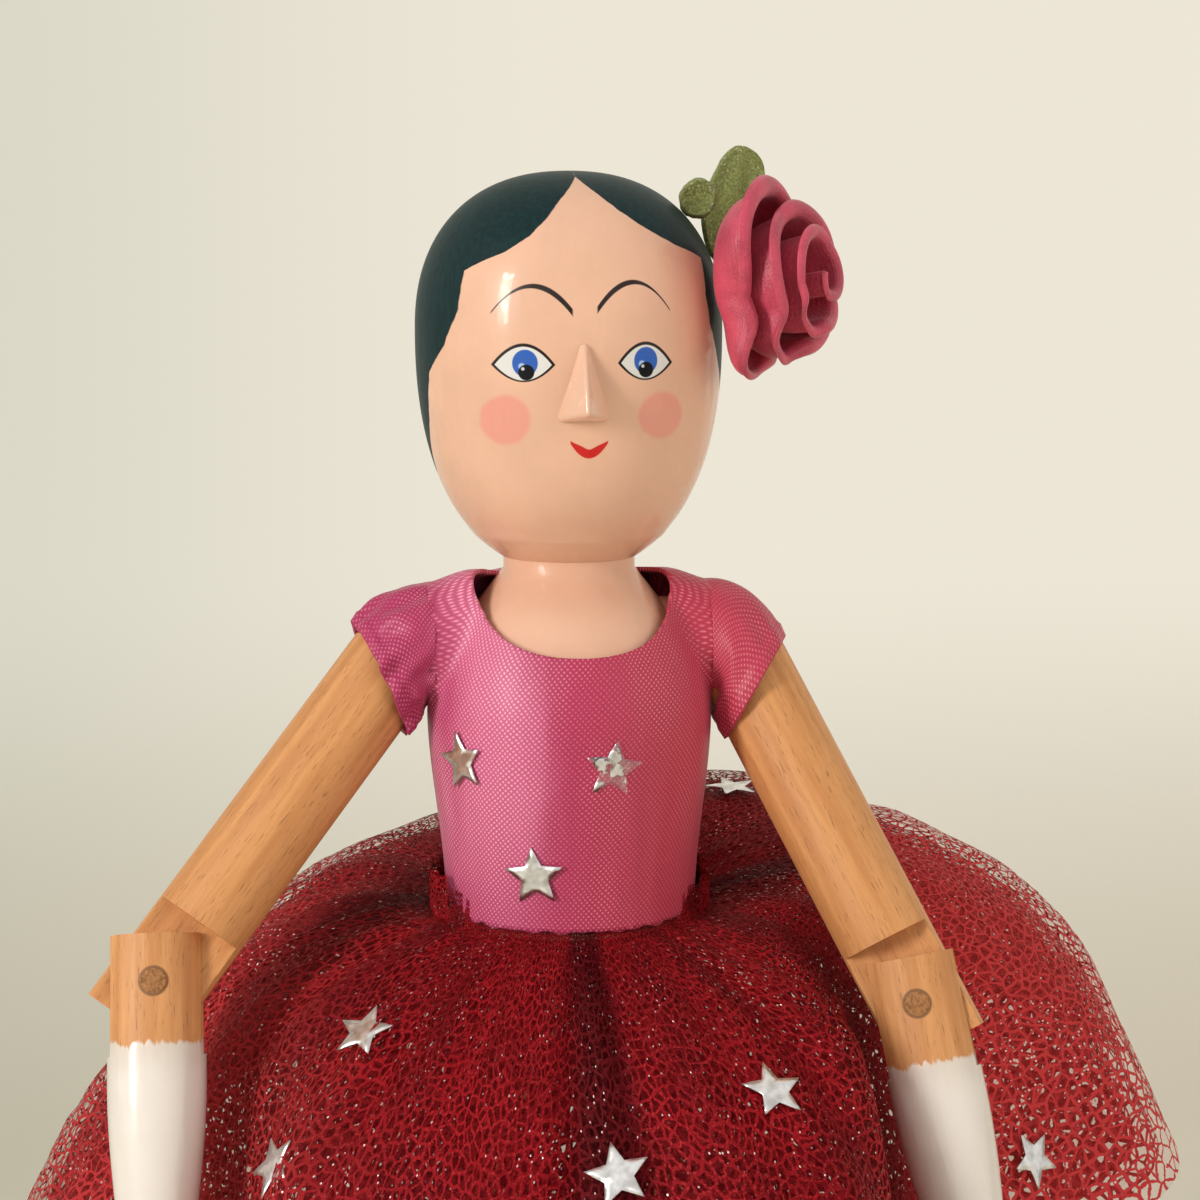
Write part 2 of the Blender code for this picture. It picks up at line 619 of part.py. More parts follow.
def pressed(azimuth, radius, height, inset):
    """A point of the net, pushed in where a forearm hangs against it."""
    for pose in ARM_POSES.values():
        spot, half_width = arm_at(pose, height)
        away = azimuth - math.atan2(spot.x, -spot.y)
        away = math.atan2(math.sin(away), math.cos(away))
        reach = math.hypot(spot.x, spot.y) - half_width - NET_FROM_ARM - inset
        limit = reach + NET_DENT * away * away
        mix = min(max(0.5 + (limit - radius) / (2 * NET_SOFTNESS), 0), 1)
        radius = limit + (radius - limit) * mix - NET_SOFTNESS * mix * (1 - mix)
    return Vector((radius * math.sin(azimuth), -radius * math.cos(azimuth), height))


def build_skirt(name, layer, root):
    """One gathered layer: a sheet wrapped round the waist, given its thickness."""
    shape = bmesh.new()
    bmesh.ops.create_grid(shape, x_segments=NET_COLUMNS, y_segments=NET_ROWS, size=1)
    columns = [
        skirt_column(2 * math.pi * i / NET_COLUMNS, layer, NET_ROWS) for i in range(NET_COLUMNS)
    ]
    for point in shape.verts:
        column = round((point.co.x + 1) / 2 * NET_COLUMNS) % NET_COLUMNS
        row = round((1 - point.co.y) / 2 * NET_ROWS)
        point.co = columns[column][row]
    bmesh.ops.remove_doubles(shape, verts=shape.verts, dist=0.00001)
    skirt = add_object(name, mesh_from(shape, name), CRIMSON_NET, root)
    wall = skirt.modifiers.new("net", "SOLIDIFY")
    wall.thickness = NET
    wall.offset = 0
    return skirt


def rose_frame():
    """Frame of the rose: Z points out of the hair along the rose's axis."""
    axis = Vector(ROSE_AXIS).normalized()
    flat = Vector((axis.x, axis.y, 0)).normalized()
    seat = flat * (HEAD_RADIUS + GAP) + Vector((0, 0, HEAD_Z + ROSE_HEIGHT))
    turn = axis.to_track_quat("Z", "Y").to_matrix().to_4x4()
    return Matrix.Translation(seat) @ turn


def build_rose(root):
    """One ribbon wound outwards from a tight core, with its upper edge flared into petals."""
    columns, rows = 64, 3
    shape = bmesh.new()
    bmesh.ops.create_grid(shape, x_segments=columns, y_segments=rows, size=1)
    for point in shape.verts:
        along = (point.co.x + 1) / 2
        up = (point.co.y + 1) / 2
        angle = 2 * math.pi * ROSE_TURNS * along
        base = ROSE_CORE + (ROSE_RADIUS - ROSE_CORE) * along
        wave = ROSE_WAVE * along * math.cos(ROSE_PETALS * angle / 2)
        radius = base * (1 - ROSE_FLARE + 2 * ROSE_FLARE * up * along) + wave * up
        top = ROSE_DEPTH - ROSE_RIM_DROP * along + wave
        height = RIBBON + top * up
        point.co = (radius * math.cos(angle), radius * math.sin(angle), height)
    rose = add_object("ribbon_rose", mesh_from(shape, "ribbon_rose"), ROSE_RIBBON, root, rose_frame())
    wall = rose.modifiers.new("ribbon", "SOLIDIFY")
    wall.thickness = RIBBON
    wall.offset = 0
    return rose


def head_surface(direction):
    """The point of the head's egg straight out from its middle."""
    direction = direction.normalized()
    flat = math.hypot(direction.x, direction.y) / HEAD_RADIUS
    tall = abs(direction.z) / (HEAD_RISE if direction.z > 0 else HEAD_DROP)
    reach = (flat**HEAD_POWER + tall**HEAD_POWER) ** (-1 / HEAD_POWER)
    return Vector((0, 0, HEAD_Z)) + direction * reach


def build_leaves(root):
    """Velvet leaves whose lower tips stand on the hair and which lean away from it."""
    for name, leaf in LEAVES.items():
        rise, back = math.radians(leaf["rise"]), math.radians(leaf["back"])
        out = Vector((math.cos(rise) * math.cos(back), math.cos(rise) * math.sin(back), math.sin(rise)))
        lean = math.radians(leaf["lean"])
        axis = Vector((math.cos(lean) * math.cos(back), math.cos(lean) * math.sin(back), math.sin(lean)))
        seat = head_surface(out) + out * 2.5 * GAP + axis * leaf["size"][2]
        turn = axis.to_track_quat("Z", "Y").to_matrix().to_4x4()
        ball(name, leaf["size"], LEAF_VELVET, root, Matrix.Translation(seat) @ turn, 16)


def star(name, root, frame):
    """A five-pointed foil star lying in the XY plane of its frame."""
    shape = bmesh.new()
    corners = []
    for i in range(10):
        angle = math.pi / 2 + math.pi * i / 5
        radius = STAR_RADIUS * (STAR_NOTCH if i % 2 else 1)
        corners.append(shape.verts.new((radius * math.cos(angle), radius * math.sin(angle), -FOIL / 2)))
    face = shape.faces.new(corners)
    raised = bmesh.ops.extrude_face_region(shape, geom=[face])["geom"]
    lifted = [item for item in raised if isinstance(item, bmesh.types.BMVert)]
    bmesh.ops.translate(shape, vec=(0, 0, FOIL), verts=lifted)
    return add_object(name, mesh_from(shape, name), STAR_FOIL, root, frame)


def surface_frame(center, normal, spin):
    """A frame on a surface: Z along its normal and Y as near to up as it can be, then spun."""
    normal = normal.normalized()
    side = Vector((0, 0, 1)).cross(normal).normalized()
    up = normal.cross(side)
    turn = Matrix((side, up, normal)).transposed().to_4x4()
    return Matrix.Translation(center) @ turn @ Matrix.Rotation(math.radians(spin), 4, "Z")


def build_stars(root):
    for i, (height, turn, spin) in enumerate(BODICE_STARS, 1):
        azimuth = math.radians(turn)
        normal = Vector((math.sin(azimuth), -math.cos(azimuth), 0))
        slope = math.atan2(body_radius(height + SATIN) - body_radius(height - SATIN), 2 * SATIN)
        facing = normal * math.cos(slope) - Vector((0, 0, math.sin(slope)))
        reach = body_radius(height) + CLOTH_GAP + SATIN + GAP + FOIL / 2
        star(f"star_bodice_{i}", root, surface_frame(normal * reach + Vector((0, 0, WAIST_Z + height)), facing, spin))
    for i, (turn, run, spin) in enumerate(SKIRT_STARS, 1):
        star(f"star_skirt_{i}", root, net_frame(math.radians(turn), run, spin))


def net_point(azimuth, run):
    return skirt_column(azimuth, SKIRT_LAYERS["skirt_outer"], NET_ROWS, run)[-1]


def net_frame(azimuth, run, spin):
    """A place on the outer net, lifted until a flat star there clears the folds."""
    reach = STAR_RADIUS / math.hypot(net_point(azimuth, run).x, net_point(azimuth, run).y)
    around = net_point(azimuth + reach, run) - net_point(azimuth - reach, run)
    down = net_point(azimuth, run + STAR_RADIUS) - net_point(azimuth, run - STAR_RADIUS)
    normal = down.cross(around).normalized()
    center = net_point(azimuth, run)
    rises = [
        (net_point(azimuth + reach * i / 2, run + STAR_RADIUS * j / 2) - center).dot(normal)
        for i in range(-2, 3)
        for j in range(-2, 3)
    ]
    lift = max(rises) + NET / 2 + GAP + FOIL
    return surface_frame(center + normal * lift, normal, spin)


def build_doll():
    root = add_empty("doll", Matrix.Translation(AXIS_PLACE))
    body = build_head_and_body(root)
    build_nose(root)
    for name, pose in ARM_POSES.items():
        build_arm(name, pose, body, root)
        build_leg(name, pose["side"], root)
    build_bodice(root)
    for name, layer in SKIRT_LAYERS.items():
        build_skirt(name, layer, root)
    build_rose(root)
    build_leaves(root)
    build_stars(root)


build_doll()
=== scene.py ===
"""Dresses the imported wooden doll: turned and painted head, pegged limbs, satin, net, ribbon rose and foil stars.

All lengths are in metres. The pieces are made round the body's upright axis and then moved to its place.
"""

import math

import bmesh
import bpy
import numpy as np
from bpy.props import FloatProperty, FloatVectorProperty, PointerProperty
from mathutils import Matrix, Vector, noise


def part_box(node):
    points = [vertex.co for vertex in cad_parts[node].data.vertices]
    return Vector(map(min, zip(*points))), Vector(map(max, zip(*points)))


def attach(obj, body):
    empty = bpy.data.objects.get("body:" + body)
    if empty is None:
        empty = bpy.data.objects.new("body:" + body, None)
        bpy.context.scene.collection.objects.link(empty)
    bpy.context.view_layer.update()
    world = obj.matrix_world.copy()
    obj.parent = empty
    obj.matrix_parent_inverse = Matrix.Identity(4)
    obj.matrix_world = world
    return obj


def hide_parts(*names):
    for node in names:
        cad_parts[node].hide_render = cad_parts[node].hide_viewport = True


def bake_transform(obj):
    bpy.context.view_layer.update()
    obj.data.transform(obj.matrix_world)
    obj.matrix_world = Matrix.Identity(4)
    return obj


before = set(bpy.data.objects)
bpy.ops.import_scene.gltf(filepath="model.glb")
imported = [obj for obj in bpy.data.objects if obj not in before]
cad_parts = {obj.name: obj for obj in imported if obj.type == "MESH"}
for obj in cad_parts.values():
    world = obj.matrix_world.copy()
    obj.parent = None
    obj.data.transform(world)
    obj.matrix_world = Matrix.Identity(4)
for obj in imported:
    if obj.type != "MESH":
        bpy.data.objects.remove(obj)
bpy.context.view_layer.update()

bl_info = {
    "name": "Wooden Doll",
    "version": (1, 0, 0),
    "blender": (4, 5, 0),
    "location": "3D View > Sidebar > Doll",
    "description": "Builds the painted, pegged and dressed doll over its solid frame",
    "category": "Add Mesh",
}

# The body's axis and the heights of its joints
AXIS = Vector((-0.0056, -0.0087, 0))
LOWER_LEG = 0.092
THIGH = 0.082
HIP_Z = LOWER_LEG + THIGH
WAIST_Z = HIP_Z + 0.022
SHOULDER_Z = WAIST_Z + 0.035

# Turned head and body
CHEST_HEIGHT = 0.026
NECK_HEIGHT = 0.045
NECK_LENGTH = 0.0015
HEAD_RADIUS = 0.0204
HEAD_RISE = 0.021
HEAD_DROP = 0.032
HEAD_POWER = 2.3
NECK_RADIUS = 0.00885
CHEST_RADIUS = 0.0179
WAIST_RADIUS = 0.0158
HIP_RADIUS = 0.0170
HIP_DROP = 0.011
NECK_FLARE_POWER = 0.6
SHOULDER_HALF_SPAN = 0.0218
SHOULDER_RADIUS = 0.0065
HIP_BLOCK_RADIUS = 0.0074
HIP_BLOCK_HALF_WIDTH = 0.0172
HEAD_Z = WAIST_Z + NECK_HEIGHT + NECK_LENGTH + HEAD_DROP * (
    1 - (NECK_RADIUS / HEAD_RADIUS) ** HEAD_POWER
) ** (1 / HEAD_POWER)

# Dowels, tongues and pegs
ARM_RADIUS = 0.00625
UPPER_ARM = 0.055
FOREARM = 0.058
HAND_LENGTH = 0.0145
HAND_RADIUS = 0.0050
HAND_THICKNESS = 0.0052
WRIST_RADIUS = 0.0040
ARM_TONGUE = 0.0046
SHOULDER_TONGUE_HALF = 0.0043
SHOULDER_CUP = 0.0070
ELBOW_END = 0.0060
LEG_RADIUS = 0.0075
LEG_HALF_GAP = 0.0105
LEG_TONGUE = 0.0056
KNEE_END = 0.0066
CALF_RADIUS = 0.0078
ANKLE_RADIUS = 0.0047
FOOT_SIZE = (0.0072, 0.0135, 0.0115)
FOOT_FORWARD = 0.0035
PEG_RADIUS = 0.0017
PEG_PROUD = 0.00018
DOWEL_STEPS = 64
BARE_EDGE = 0.0003
PAINTED_EDGE = 0.00035
GAP = 0.0003
PLAY = 0.0005
TONGUE_REACH = math.hypot(ARM_RADIUS, ELBOW_END) + PLAY
KNEE_REACH = math.hypot(LEG_RADIUS, KNEE_END) + PLAY
HIP_REACH = HIP_BLOCK_RADIUS + PLAY
ARM_POSES = {
    "left": {"side": 1, "splay": 30, "forearm": 14, "forward": 16, "turn": -18, "sleeve": 0.0080, "cuff": 0.50},
    "right": {"side": -1, "splay": 37, "forearm": 0, "forward": 20, "turn": 0, "sleeve": 0.0064, "cuff": 0.48},
}

# Bodice, sleeves and net
CLOTH_GAP = 0.0005
SATIN = 0.0009
SATIN_SHEET = 0.0006
BODICE_RADIUS = 0.0187
BODICE_TOP = 0.0420
BODICE_HEM = 0.0010
ARMHOLE = 0.0192
SLEEVE_ROOM = 0.0008
SLEEVE_RADIUS = 0.0080
SLEEVE_FLAT = (2 * math.pi * 0.0082, 0.0105)
SLEEVE_PUCKER = {"left": 0.00010, "right": 0.00045}
NECKLINE = (0.0142, 0.0140, 0.0200)
NECKLINE_PLACE = (0, -0.007, WAIST_Z + 0.049)
NET_TOP = WAIST_Z - BODICE_HEM - GAP - 0.0006
NET_LENGTH = 0.104
NET_SPRING = 22
NET_SPRING_BACK = 33
NET_SPRING_LEFT = -3
NET_HEM_ANGLE = -72
NET_BEND_POWER = 0.56
NET_BEND_LEFT = 0.42
NET_FROM_ARM = 0.0038
NET_DENT = 0.095
NET_SOFTNESS = 0.013
FOLD_DEPTH = 0.0040
FOLDS = ((11, 0.65), (7, 0.35))
NET_LAYERS = {
    "skirt_outer": {"inset": 0.0, "length": 1.0, "drop": 0.0, "width": 0.46, "dense": 0.04, "seed": 1.0},
    "skirt_middle": {"inset": 0.0021, "length": 0.97, "drop": 0.0013, "width": 0.44, "dense": 0.11, "seed": 5.0},
    "skirt_under": {"inset": 0.0042, "length": 0.93, "drop": 0.0026, "width": 0.42, "dense": 0.30, "seed": 9.0},
}

# Rose and leaves
ROSE_AXIS = Vector((0.95, -0.31, -0.05)).normalized()
ROSE_FACING = Vector((0.80, -0.57, 0.16)).normalized()
ROSE_HEIGHT = 0.0065
ROSE_SHIFT = Vector((0.0013, 0, -0.0007))
ROSE_SEAT = 0.0008
ROSE_TURNS = 3.25
ROSE_END = math.radians(282)
ROSE_TIP = math.radians(243)
ROSE_CROWN = math.radians(122)
ROSE_ROLL = math.radians(165)
ROSE_ROLL_FROM = 0.72
RIBBON_FLAT = (0.152, 0.0150)
RIBBON_THICK = 0.0007
LEAF_THICK = 0.0008
LEAF_GAP = 2.5 * GAP
LEAVES = {
    "leaf_large": {
        "size": (0.0011, 0.0042, 0.0080), "rise": 30, "back": 14, "lean": 76, "crease": 0.7,
        "nudge": (0.0026, 0, -0.0018),
    },
    "leaf_small": {
        "size": (0.0010, 0.0023, 0.0025), "rise": 47, "back": -6, "lean": 55, "crease": 0,
        "nudge": (0.0004, 0, -0.0010),
    },
}

# Nose and stars
NOSE_RADII = (0.0044, 0.0014)
NOSE_EDGE = 0.00075
STAR_RADIUS = 0.0041
STAR_NOTCH = 0.46
STAR_RIDGE = 0.00010
FOIL_THICK = 0.0002

# Sweep of floor and wall
SWEEP_HALF_WIDTH = 4.0
SWEEP_FLOOR = 5.0
SWEEP_BEND_FROM = 0.4
SWEEP_BEND = 0.35
SWEEP_WALL = 2.4
SEEN_WORLD = 0.82


def color(name, text, value):
    return FloatVectorProperty(name=name, description=text, subtype="COLOR", size=3, min=0, max=1, default=value)


def length(name, text, value):
    return FloatProperty(name=name, description=text, subtype="DISTANCE", unit="LENGTH", default=value, precision=5)


class DollPaint(bpy.types.PropertyGroup):
    flesh: color("Flesh", "Enamel of the head, neck and chest", (0.80, 0.475, 0.325))
    hair: color("Hair", "Enamel of the hair", (0.004, 0.024, 0.026))
    cheek: color("Cheek", "Paint of the cheek discs", (0.82, 0.27, 0.22))
    lips: color("Lips", "Paint of the mouth", (0.62, 0.012, 0.010))
    iris: color("Iris", "Paint of the irises", (0.035, 0.12, 0.46))
    line: color("Line", "Paint of the brows and lids", (0.022, 0.012, 0.010))
    white: color("White", "Enamel of the forearms and lower legs", (0.82, 0.74, 0.66))
    slipper: color("Slipper", "Enamel of the feet", (0.16, 0.004, 0.014))


class DollWood(bpy.types.PropertyGroup):
    light: color("Light wood", "The dowels' pale grain", (0.72, 0.345, 0.130))
    dark: color("Dark wood", "The dowels' dark grain", (0.56, 0.235, 0.078))
    pore: color("Pores", "Short dark pores along the grain", (0.16, 0.07, 0.025))
    peg: color("Pegs", "End grain of the pegs", (0.42, 0.185, 0.065))
    bare: length("Bare end", "How far below the elbow and knee pegs the enamel starts", 0.0076)


class DollCloth(bpy.types.PropertyGroup):
    # Painted light on the bodice: satin is the one cloth's colour on its lit left side, and the dull satin colour is
    # painted shade for its right side.
    satin: color("Satin", "The bodice on its bright side", (0.47, 0.036, 0.125))
    satin_shaded_side: color("Dull satin", "The bodice on its dull side", (0.56, 0.050, 0.085))
    # Painted highlight: sheen is the colour of an upright band of light painted on the satin.
    sheen: color("Sheen", "The upright band of sheen on the satin", (0.88, 0.23, 0.40))
    weave: length("Weave", "Distance between the floats of the satin", 0.00078)
    net: color("Net", "Fibres of the net", (0.175, 0.0024, 0.0055))
    # The light net colour serves the net's lighter fibres and also painted light shining through the net at the
    # skirt's sides.
    net_fibre_and_painted_light: color("Light net", "Fibres that stand out of the net", (0.58, 0.042, 0.044))
    hole: length("Hole", "Distance between the holes of the net", 0.0017)
    ribbon: color("Ribbon", "The rose's ribbon", (0.55, 0.062, 0.108))
    leaf: color("Leaf", "Velvet of the leaves", (0.26, 0.29, 0.088))


class DollView(bpy.types.PropertyGroup):
    azimuth: FloatProperty(name="Azimuth", description="Camera's turn from the front", default=-6.9)
    elevation: FloatProperty(name="Elevation", description="Camera's angle above level", default=7.9)
    distance: length("Distance", "From the camera to its target", 0.30)
    field: FloatProperty(name="Field of view", description="In degrees, across the picture", default=30.3)
    key: FloatProperty(name="Key light", description="Power of the window light", unit="POWER", default=4.9)
    fill: FloatProperty(name="Fill light", description="Power of the soft light", unit="POWER", default=4.0)
    ambient: FloatProperty(name="Ambient", description="Strength of the light from all round", default=0.42)


class Value:
    """A shader socket: arithmetic on it adds Math nodes to its tree."""

    def __init__(self, tree, socket=None):
        self.tree = tree
        self.socket = socket

    def node(self, kind, settings=None, inputs=None, output=0):
        """A node of that kind, with its settings made first and then its sockets' values or links."""
        made = self.tree.nodes.new(kind)
        for name, value in (settings or {}).items():
            if name == "stops":
                ramp = made.color_ramp
                while len(ramp.elements) < len(value):
                    ramp.elements.new(1)
                for element, (place, shade) in zip(ramp.elements, value):
                    element.position = place
                    element.color = shade if hasattr(shade, "__len__") else (shade, shade, shade, 1)
            elif name == "ramp":
                made.color_ramp.interpolation = value
            else:
                setattr(made, name, value)
        for key, value in (inputs or {}).items():
            if isinstance(value, Value):
                self.tree.links.new(value.socket, made.inputs[key])
            else:
                made.inputs[key].default_value = value
        return Value(self.tree, made.outputs[output])

    def math(self, operation, *others):
        return self.node("ShaderNodeMath", {"operation": operation}, dict(enumerate((self, *others))))

    def __add__(self, other):
        return self.math("ADD", other)

    __radd__ = __add__

    def __mul__(self, other):
        return self.math("MULTIPLY", other)

    __rmul__ = __mul__

    def __sub__(self, other):
        return self.math("SUBTRACT", other)

    def __rsub__(self, other):
        return self * -1 + other

    def __truediv__(self, other):
        return self.math("DIVIDE", other)

    def __pow__(self, other):
        return self.math("POWER", other)

    def __abs__(self):
        return self.math("ABSOLUTE")

    def rise(self, low, high):
        """0 below low, 1 above high, and smooth between them."""
        settings = {"interpolation_type": "SMOOTHSTEP"}
        return self.node("ShaderNodeMapRange", settings, {0: self, 1: low, 2: high})

    def mix(self, first, second):
        """The first colour where this value is 0 and the second where it is 1."""
        pair = [c if isinstance(c, Value) else (*c, 1) for c in (first, second)]
        return self.node("ShaderNodeMix", {"data_type": "RGBA"}, {0: self, 6: pair[0], 7: pair[1]}, 2)

    def parts(self):
        split = self.node("ShaderNodeSeparateXYZ", None, {0: self})
        return [Value(self.tree, socket) for socket in split.socket.node.outputs]

    def scaled(self, x, y, z):
        """This vector with each of its parts multiplied."""
        return self.node("ShaderNodeVectorMath", {"operation": "MULTIPLY"}, {0: self, 1: (x, y, z)})

    def noise(self, scale, detail=2.0, roughness=0.5, output=0):
        sockets = {"Vector": self, "Scale": scale, "Detail": detail, "Roughness": roughness}
        return self.node("ShaderNodeTexNoise", None, sockets, output)

    def cells(self, scale, feature="F1", output=0):
        settings = {"feature": feature, "voronoi_dimensions": "2D"}
        return self.node("ShaderNodeTexVoronoi", settings, {"Vector": self, "Scale": scale}, output)


def finish(name, **sockets):
    """A new material's shader node and a Value on its tree; the sockets given are the same all over."""
    material = bpy.data.materials.new(name)
    material.use_nodes = True
    shader = material.node_tree.nodes["Principled BSDF"]
    for key, value in sockets.items():
        shader.inputs[key.replace("_", " ")].default_value = value
    return material, shader, Value(material.node_tree)


def feed(shader, **sockets):
    for key, value in sockets.items():
        value.tree.links.new(value.socket, shader.inputs[key.replace("_", " ")])


def bump(height, strength, distance):
    return height.node("ShaderNodeBump", None, {"Strength": strength, "Distance": distance, "Height": height})


def place_of(start, center=(0, 0, 0)):
    """Object coordinates counted from the body's axis, in millimetres."""
    spot = start.node("ShaderNodeTexCoord", None, None, 3)
    away = AXIS + Vector(center)
    moved = start.node("ShaderNodeVectorMath", {"operation": "SUBTRACT"}, {0: spot, 1: away})
    return moved.scaled(1000, 1000, 1000)


def own_place(start):
    """The place along a limb's own dowel, in millimetres."""
    return start.node("ShaderNodeAttribute", {"attribute_name": "grain"}, None, 1)


def cut_place(start):
    """The place on the cloth as it was cut, in metres."""
    return start.node("ShaderNodeUVMap", {"uv_map": "cloth"})


def times(tint, amount):
    return tuple(min(part * amount, 1) for part in tint)


def step(amount):
    amount = min(max(amount, 0.0), 1.0)
    return amount * amount * (3 - 2 * amount)


def turn(degrees, axis):
    return Matrix.Rotation(math.radians(degrees), 4, axis)


def lathe(profile, steps):
    """A bmesh spun from (radius, height) points, closed where they end on the axis."""
    shape = bmesh.new()
    points = [shape.verts.new((radius, 0, height)) for radius, height in profile]
    edges = [shape.edges.new(pair) for pair in zip(points, points[1:])]
    bmesh.ops.spin(
        shape, geom=points + edges, cent=(0, 0, 0), axis=(0, 0, 1), angle=2 * math.pi, steps=steps, use_merge=True
    )
    bmesh.ops.remove_doubles(shape, verts=shape.verts, dist=1e-6)
    bmesh.ops.recalc_face_normals(shape, faces=shape.faces)
    return shape


def add_box(shape, low, high):
    """Adds a closed box between two corners."""
    low, high = Vector(low), Vector(high)
    made = bmesh.ops.create_cube(shape, size=1)["verts"]
    bmesh.ops.scale(shape, vec=high - low, verts=made)
    bmesh.ops.translate(shape, vec=(low + high) / 2, verts=made)
    return made


def temporary(shape, name="shape"):
    mesh = bpy.data.meshes.new(name)
    shape.to_mesh(mesh)
    shape.free()
    made = bpy.data.objects.new(name, mesh)
    bpy.context.scene.collection.objects.link(made)
    return made


def settle(thing):
    """Puts a temporary object's modifiers into its mesh."""
    bpy.context.view_layer.update()
    solved = thing.evaluated_get(bpy.context.evaluated_depsgraph_get())
    mesh = bpy.data.meshes.new_from_object(solved)
    thing.modifiers.clear()
    thing.data = mesh
    return thing


def carve(thing, shape, operation="DIFFERENCE"):
    """Cuts or joins a bmesh into a temporary object."""
    tool = temporary(shape, "tool")
    modifier = thing.modifiers.new("carve", "BOOLEAN")
    modifier.operation = operation
    modifier.solver = "EXACT"
    modifier.use_self = True
    modifier.object = tool
    settle(thing)
    bpy.data.objects.remove(tool)
    return thing


def take(thing):
    """A temporary object's mesh as a bmesh; the object goes."""
    shape = bmesh.new()
    shape.from_mesh(thing.data)
    bpy.data.objects.remove(thing)
    return shape


def piece(shape, name, material, body, nodes=(), place=Matrix.Identity(4), grain=False, edge=0.0, angle=35):
    """The finished object of a bmesh, in its place, on its body and in the place of its solids."""
    mesh = bpy.data.meshes.new(name)
    if grain:
        layer = shape.verts.layers.float_vector.new("grain")
        for point in shape.verts:
            point[layer] = point.co * 1000
    bmesh.ops.transform(shape, matrix=Matrix.Translation(AXIS) @ place, verts=shape.verts)
    shape.to_mesh(mesh)
    shape.free()
    mesh.shade_smooth()
    mesh.set_sharp_from_angle(angle=math.radians(angle))
    mesh.materials.append(material)
    made = bpy.data.objects.new(name, mesh)
    bpy.context.scene.collection.objects.link(made)
    if edge:
        rounding = made.modifiers.new("edge", "BEVEL")
        rounding.width = edge
        rounding.segments = 2
        rounding.limit_method = "ANGLE"
        rounding.angle_limit = math.radians(angle)
    if body:
        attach(made, body)
    if nodes:
        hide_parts(*nodes)
    return made


def limb(thing, name, material, place, edge):
    """A dowel on its own body, with its grain along it and its edges rounded."""
    made = piece(take(thing), name, material, name, [name], place, grain=True, edge=edge)


def body_radius(height):
    """Radius of the turned body at a height above the waist."""
    if height >= CHEST_HEIGHT:
        down = (NECK_HEIGHT - min(height, NECK_HEIGHT)) / (NECK_HEIGHT - CHEST_HEIGHT)
        return NECK_RADIUS + (CHEST_RADIUS - NECK_RADIUS) * step(down**NECK_FLARE_POWER)
    if height >= 0:
        return WAIST_RADIUS + (CHEST_RADIUS - WAIST_RADIUS) * step(height / CHEST_HEIGHT)
    return WAIST_RADIUS + (HIP_RADIUS - WAIST_RADIUS) * step(-height / HIP_DROP)


def body_profile(top, bottom, outset, points):
    heights = [top + (bottom - top) * i / (points - 1) for i in range(points)]
    side = [(body_radius(h) + outset, WAIST_Z + h) for h in heights]
    return [(0, WAIST_Z + top), *side, (0, WAIST_Z + bottom)]


def head_profile(points=44):
    """The egg of the head, with the faint turned ring above the neck."""
    low = math.acos((NECK_RADIUS / HEAD_RADIUS) ** (HEAD_POWER / 2))
    angles = [math.pi / 2 * (1 - i / points) for i in range(points)]
    angles += [-low * i / points for i in range(points + 1)]
    profile = []
    for a in angles:
        radius = HEAD_RADIUS * abs(math.cos(a)) ** (2 / HEAD_POWER) if abs(a) < math.pi / 2 - 1e-6 else 0
        rise = abs(math.sin(a)) ** (2 / HEAD_POWER) * (HEAD_RISE if a > 0 else -HEAD_DROP)
        ring = 0.00013 * math.exp(-(((rise + 0.0268) / 0.0006) ** 2))
        profile.append((radius + (ring if radius else 0), HEAD_Z + rise))
    return profile


def shoulder_bar(outset, steps=48):
    radius = SHOULDER_RADIUS + outset
    turns = [math.pi / 2 * i / 12 for i in range(13)]
    dome = [(radius * math.sin(a), SHOULDER_HALF_SPAN + radius * math.cos(a)) for a in turns]
    shape = lathe(dome + [(r, -h) for r, h in reversed(dome)], steps)
    bmesh.ops.transform(shape, matrix=Matrix.Translation((0, 0, SHOULDER_Z)) @ turn(90, "Y"), verts=shape.verts)
    return shape


def lens(across, up, half, above, below, soft):
    """A painted almond: 1 inside its two arcs and 0 outside, with a soft edge."""
    share = 1 - (across / half) ** 2.0
    over = (share * above - up).rise(0, soft)
    under = (up + share * below).rise(0, soft)
    return over * under


def disc(across, up, radius, soft):
    return ((across**2.0 + up**2.0) ** 0.5).rise(radius, radius - soft)


def eye_paint(base, x, z, paint, center, half, above, below, pupil):
    """Lays the outline, white, iris and pupil of one eye over the base colour."""
    across, up = x - center[0], z - center[1]
    outline = lens(across, up, half + 0.45, above + 0.42, below + 0.22, 0.14)
    white = lens(across, up, half, above, below, 0.12)
    base = outline.mix(base, paint.line)
    base = white.mix(base, (0.74, 0.72, 0.68))
    iris = disc(across * 1.08 - pupil[0] * 0.6, up - pupil[1] - 1.15, 1.75, 0.14) * white
    base = iris.mix(base, paint.iris)
    glint = disc(across - pupil[0] + 0.55, up - pupil[1] - 0.75, 0.52, 0.25) * iris
    base = glint.mix(base, (0.42, 0.56, 0.80))
    black = disc(across - pupil[0], up - pupil[1], 1.05, 0.14) * outline
    base = black.mix(base, (0.004, 0.004, 0.006))
    light = disc(across - pupil[0] + 0.42, up - pupil[1] - 0.45, 0.26, 0.12) * black
    return light.mix(base, (0.6, 0.62, 0.66))


def brow(x, z, peak, spread, reach, inner):
    """A painted arc, thicker at its inner end."""
    away = x - peak[0]
    line = abs(z - (peak[1] - away**2.0 * spread))
    toward = (away * inner).rise(-reach, reach)
    half = toward * 0.33 + 0.13
    ends = abs(away).rise(reach, reach - 0.25)
    return (half - line).rise(-0.06, 0.08) * ends


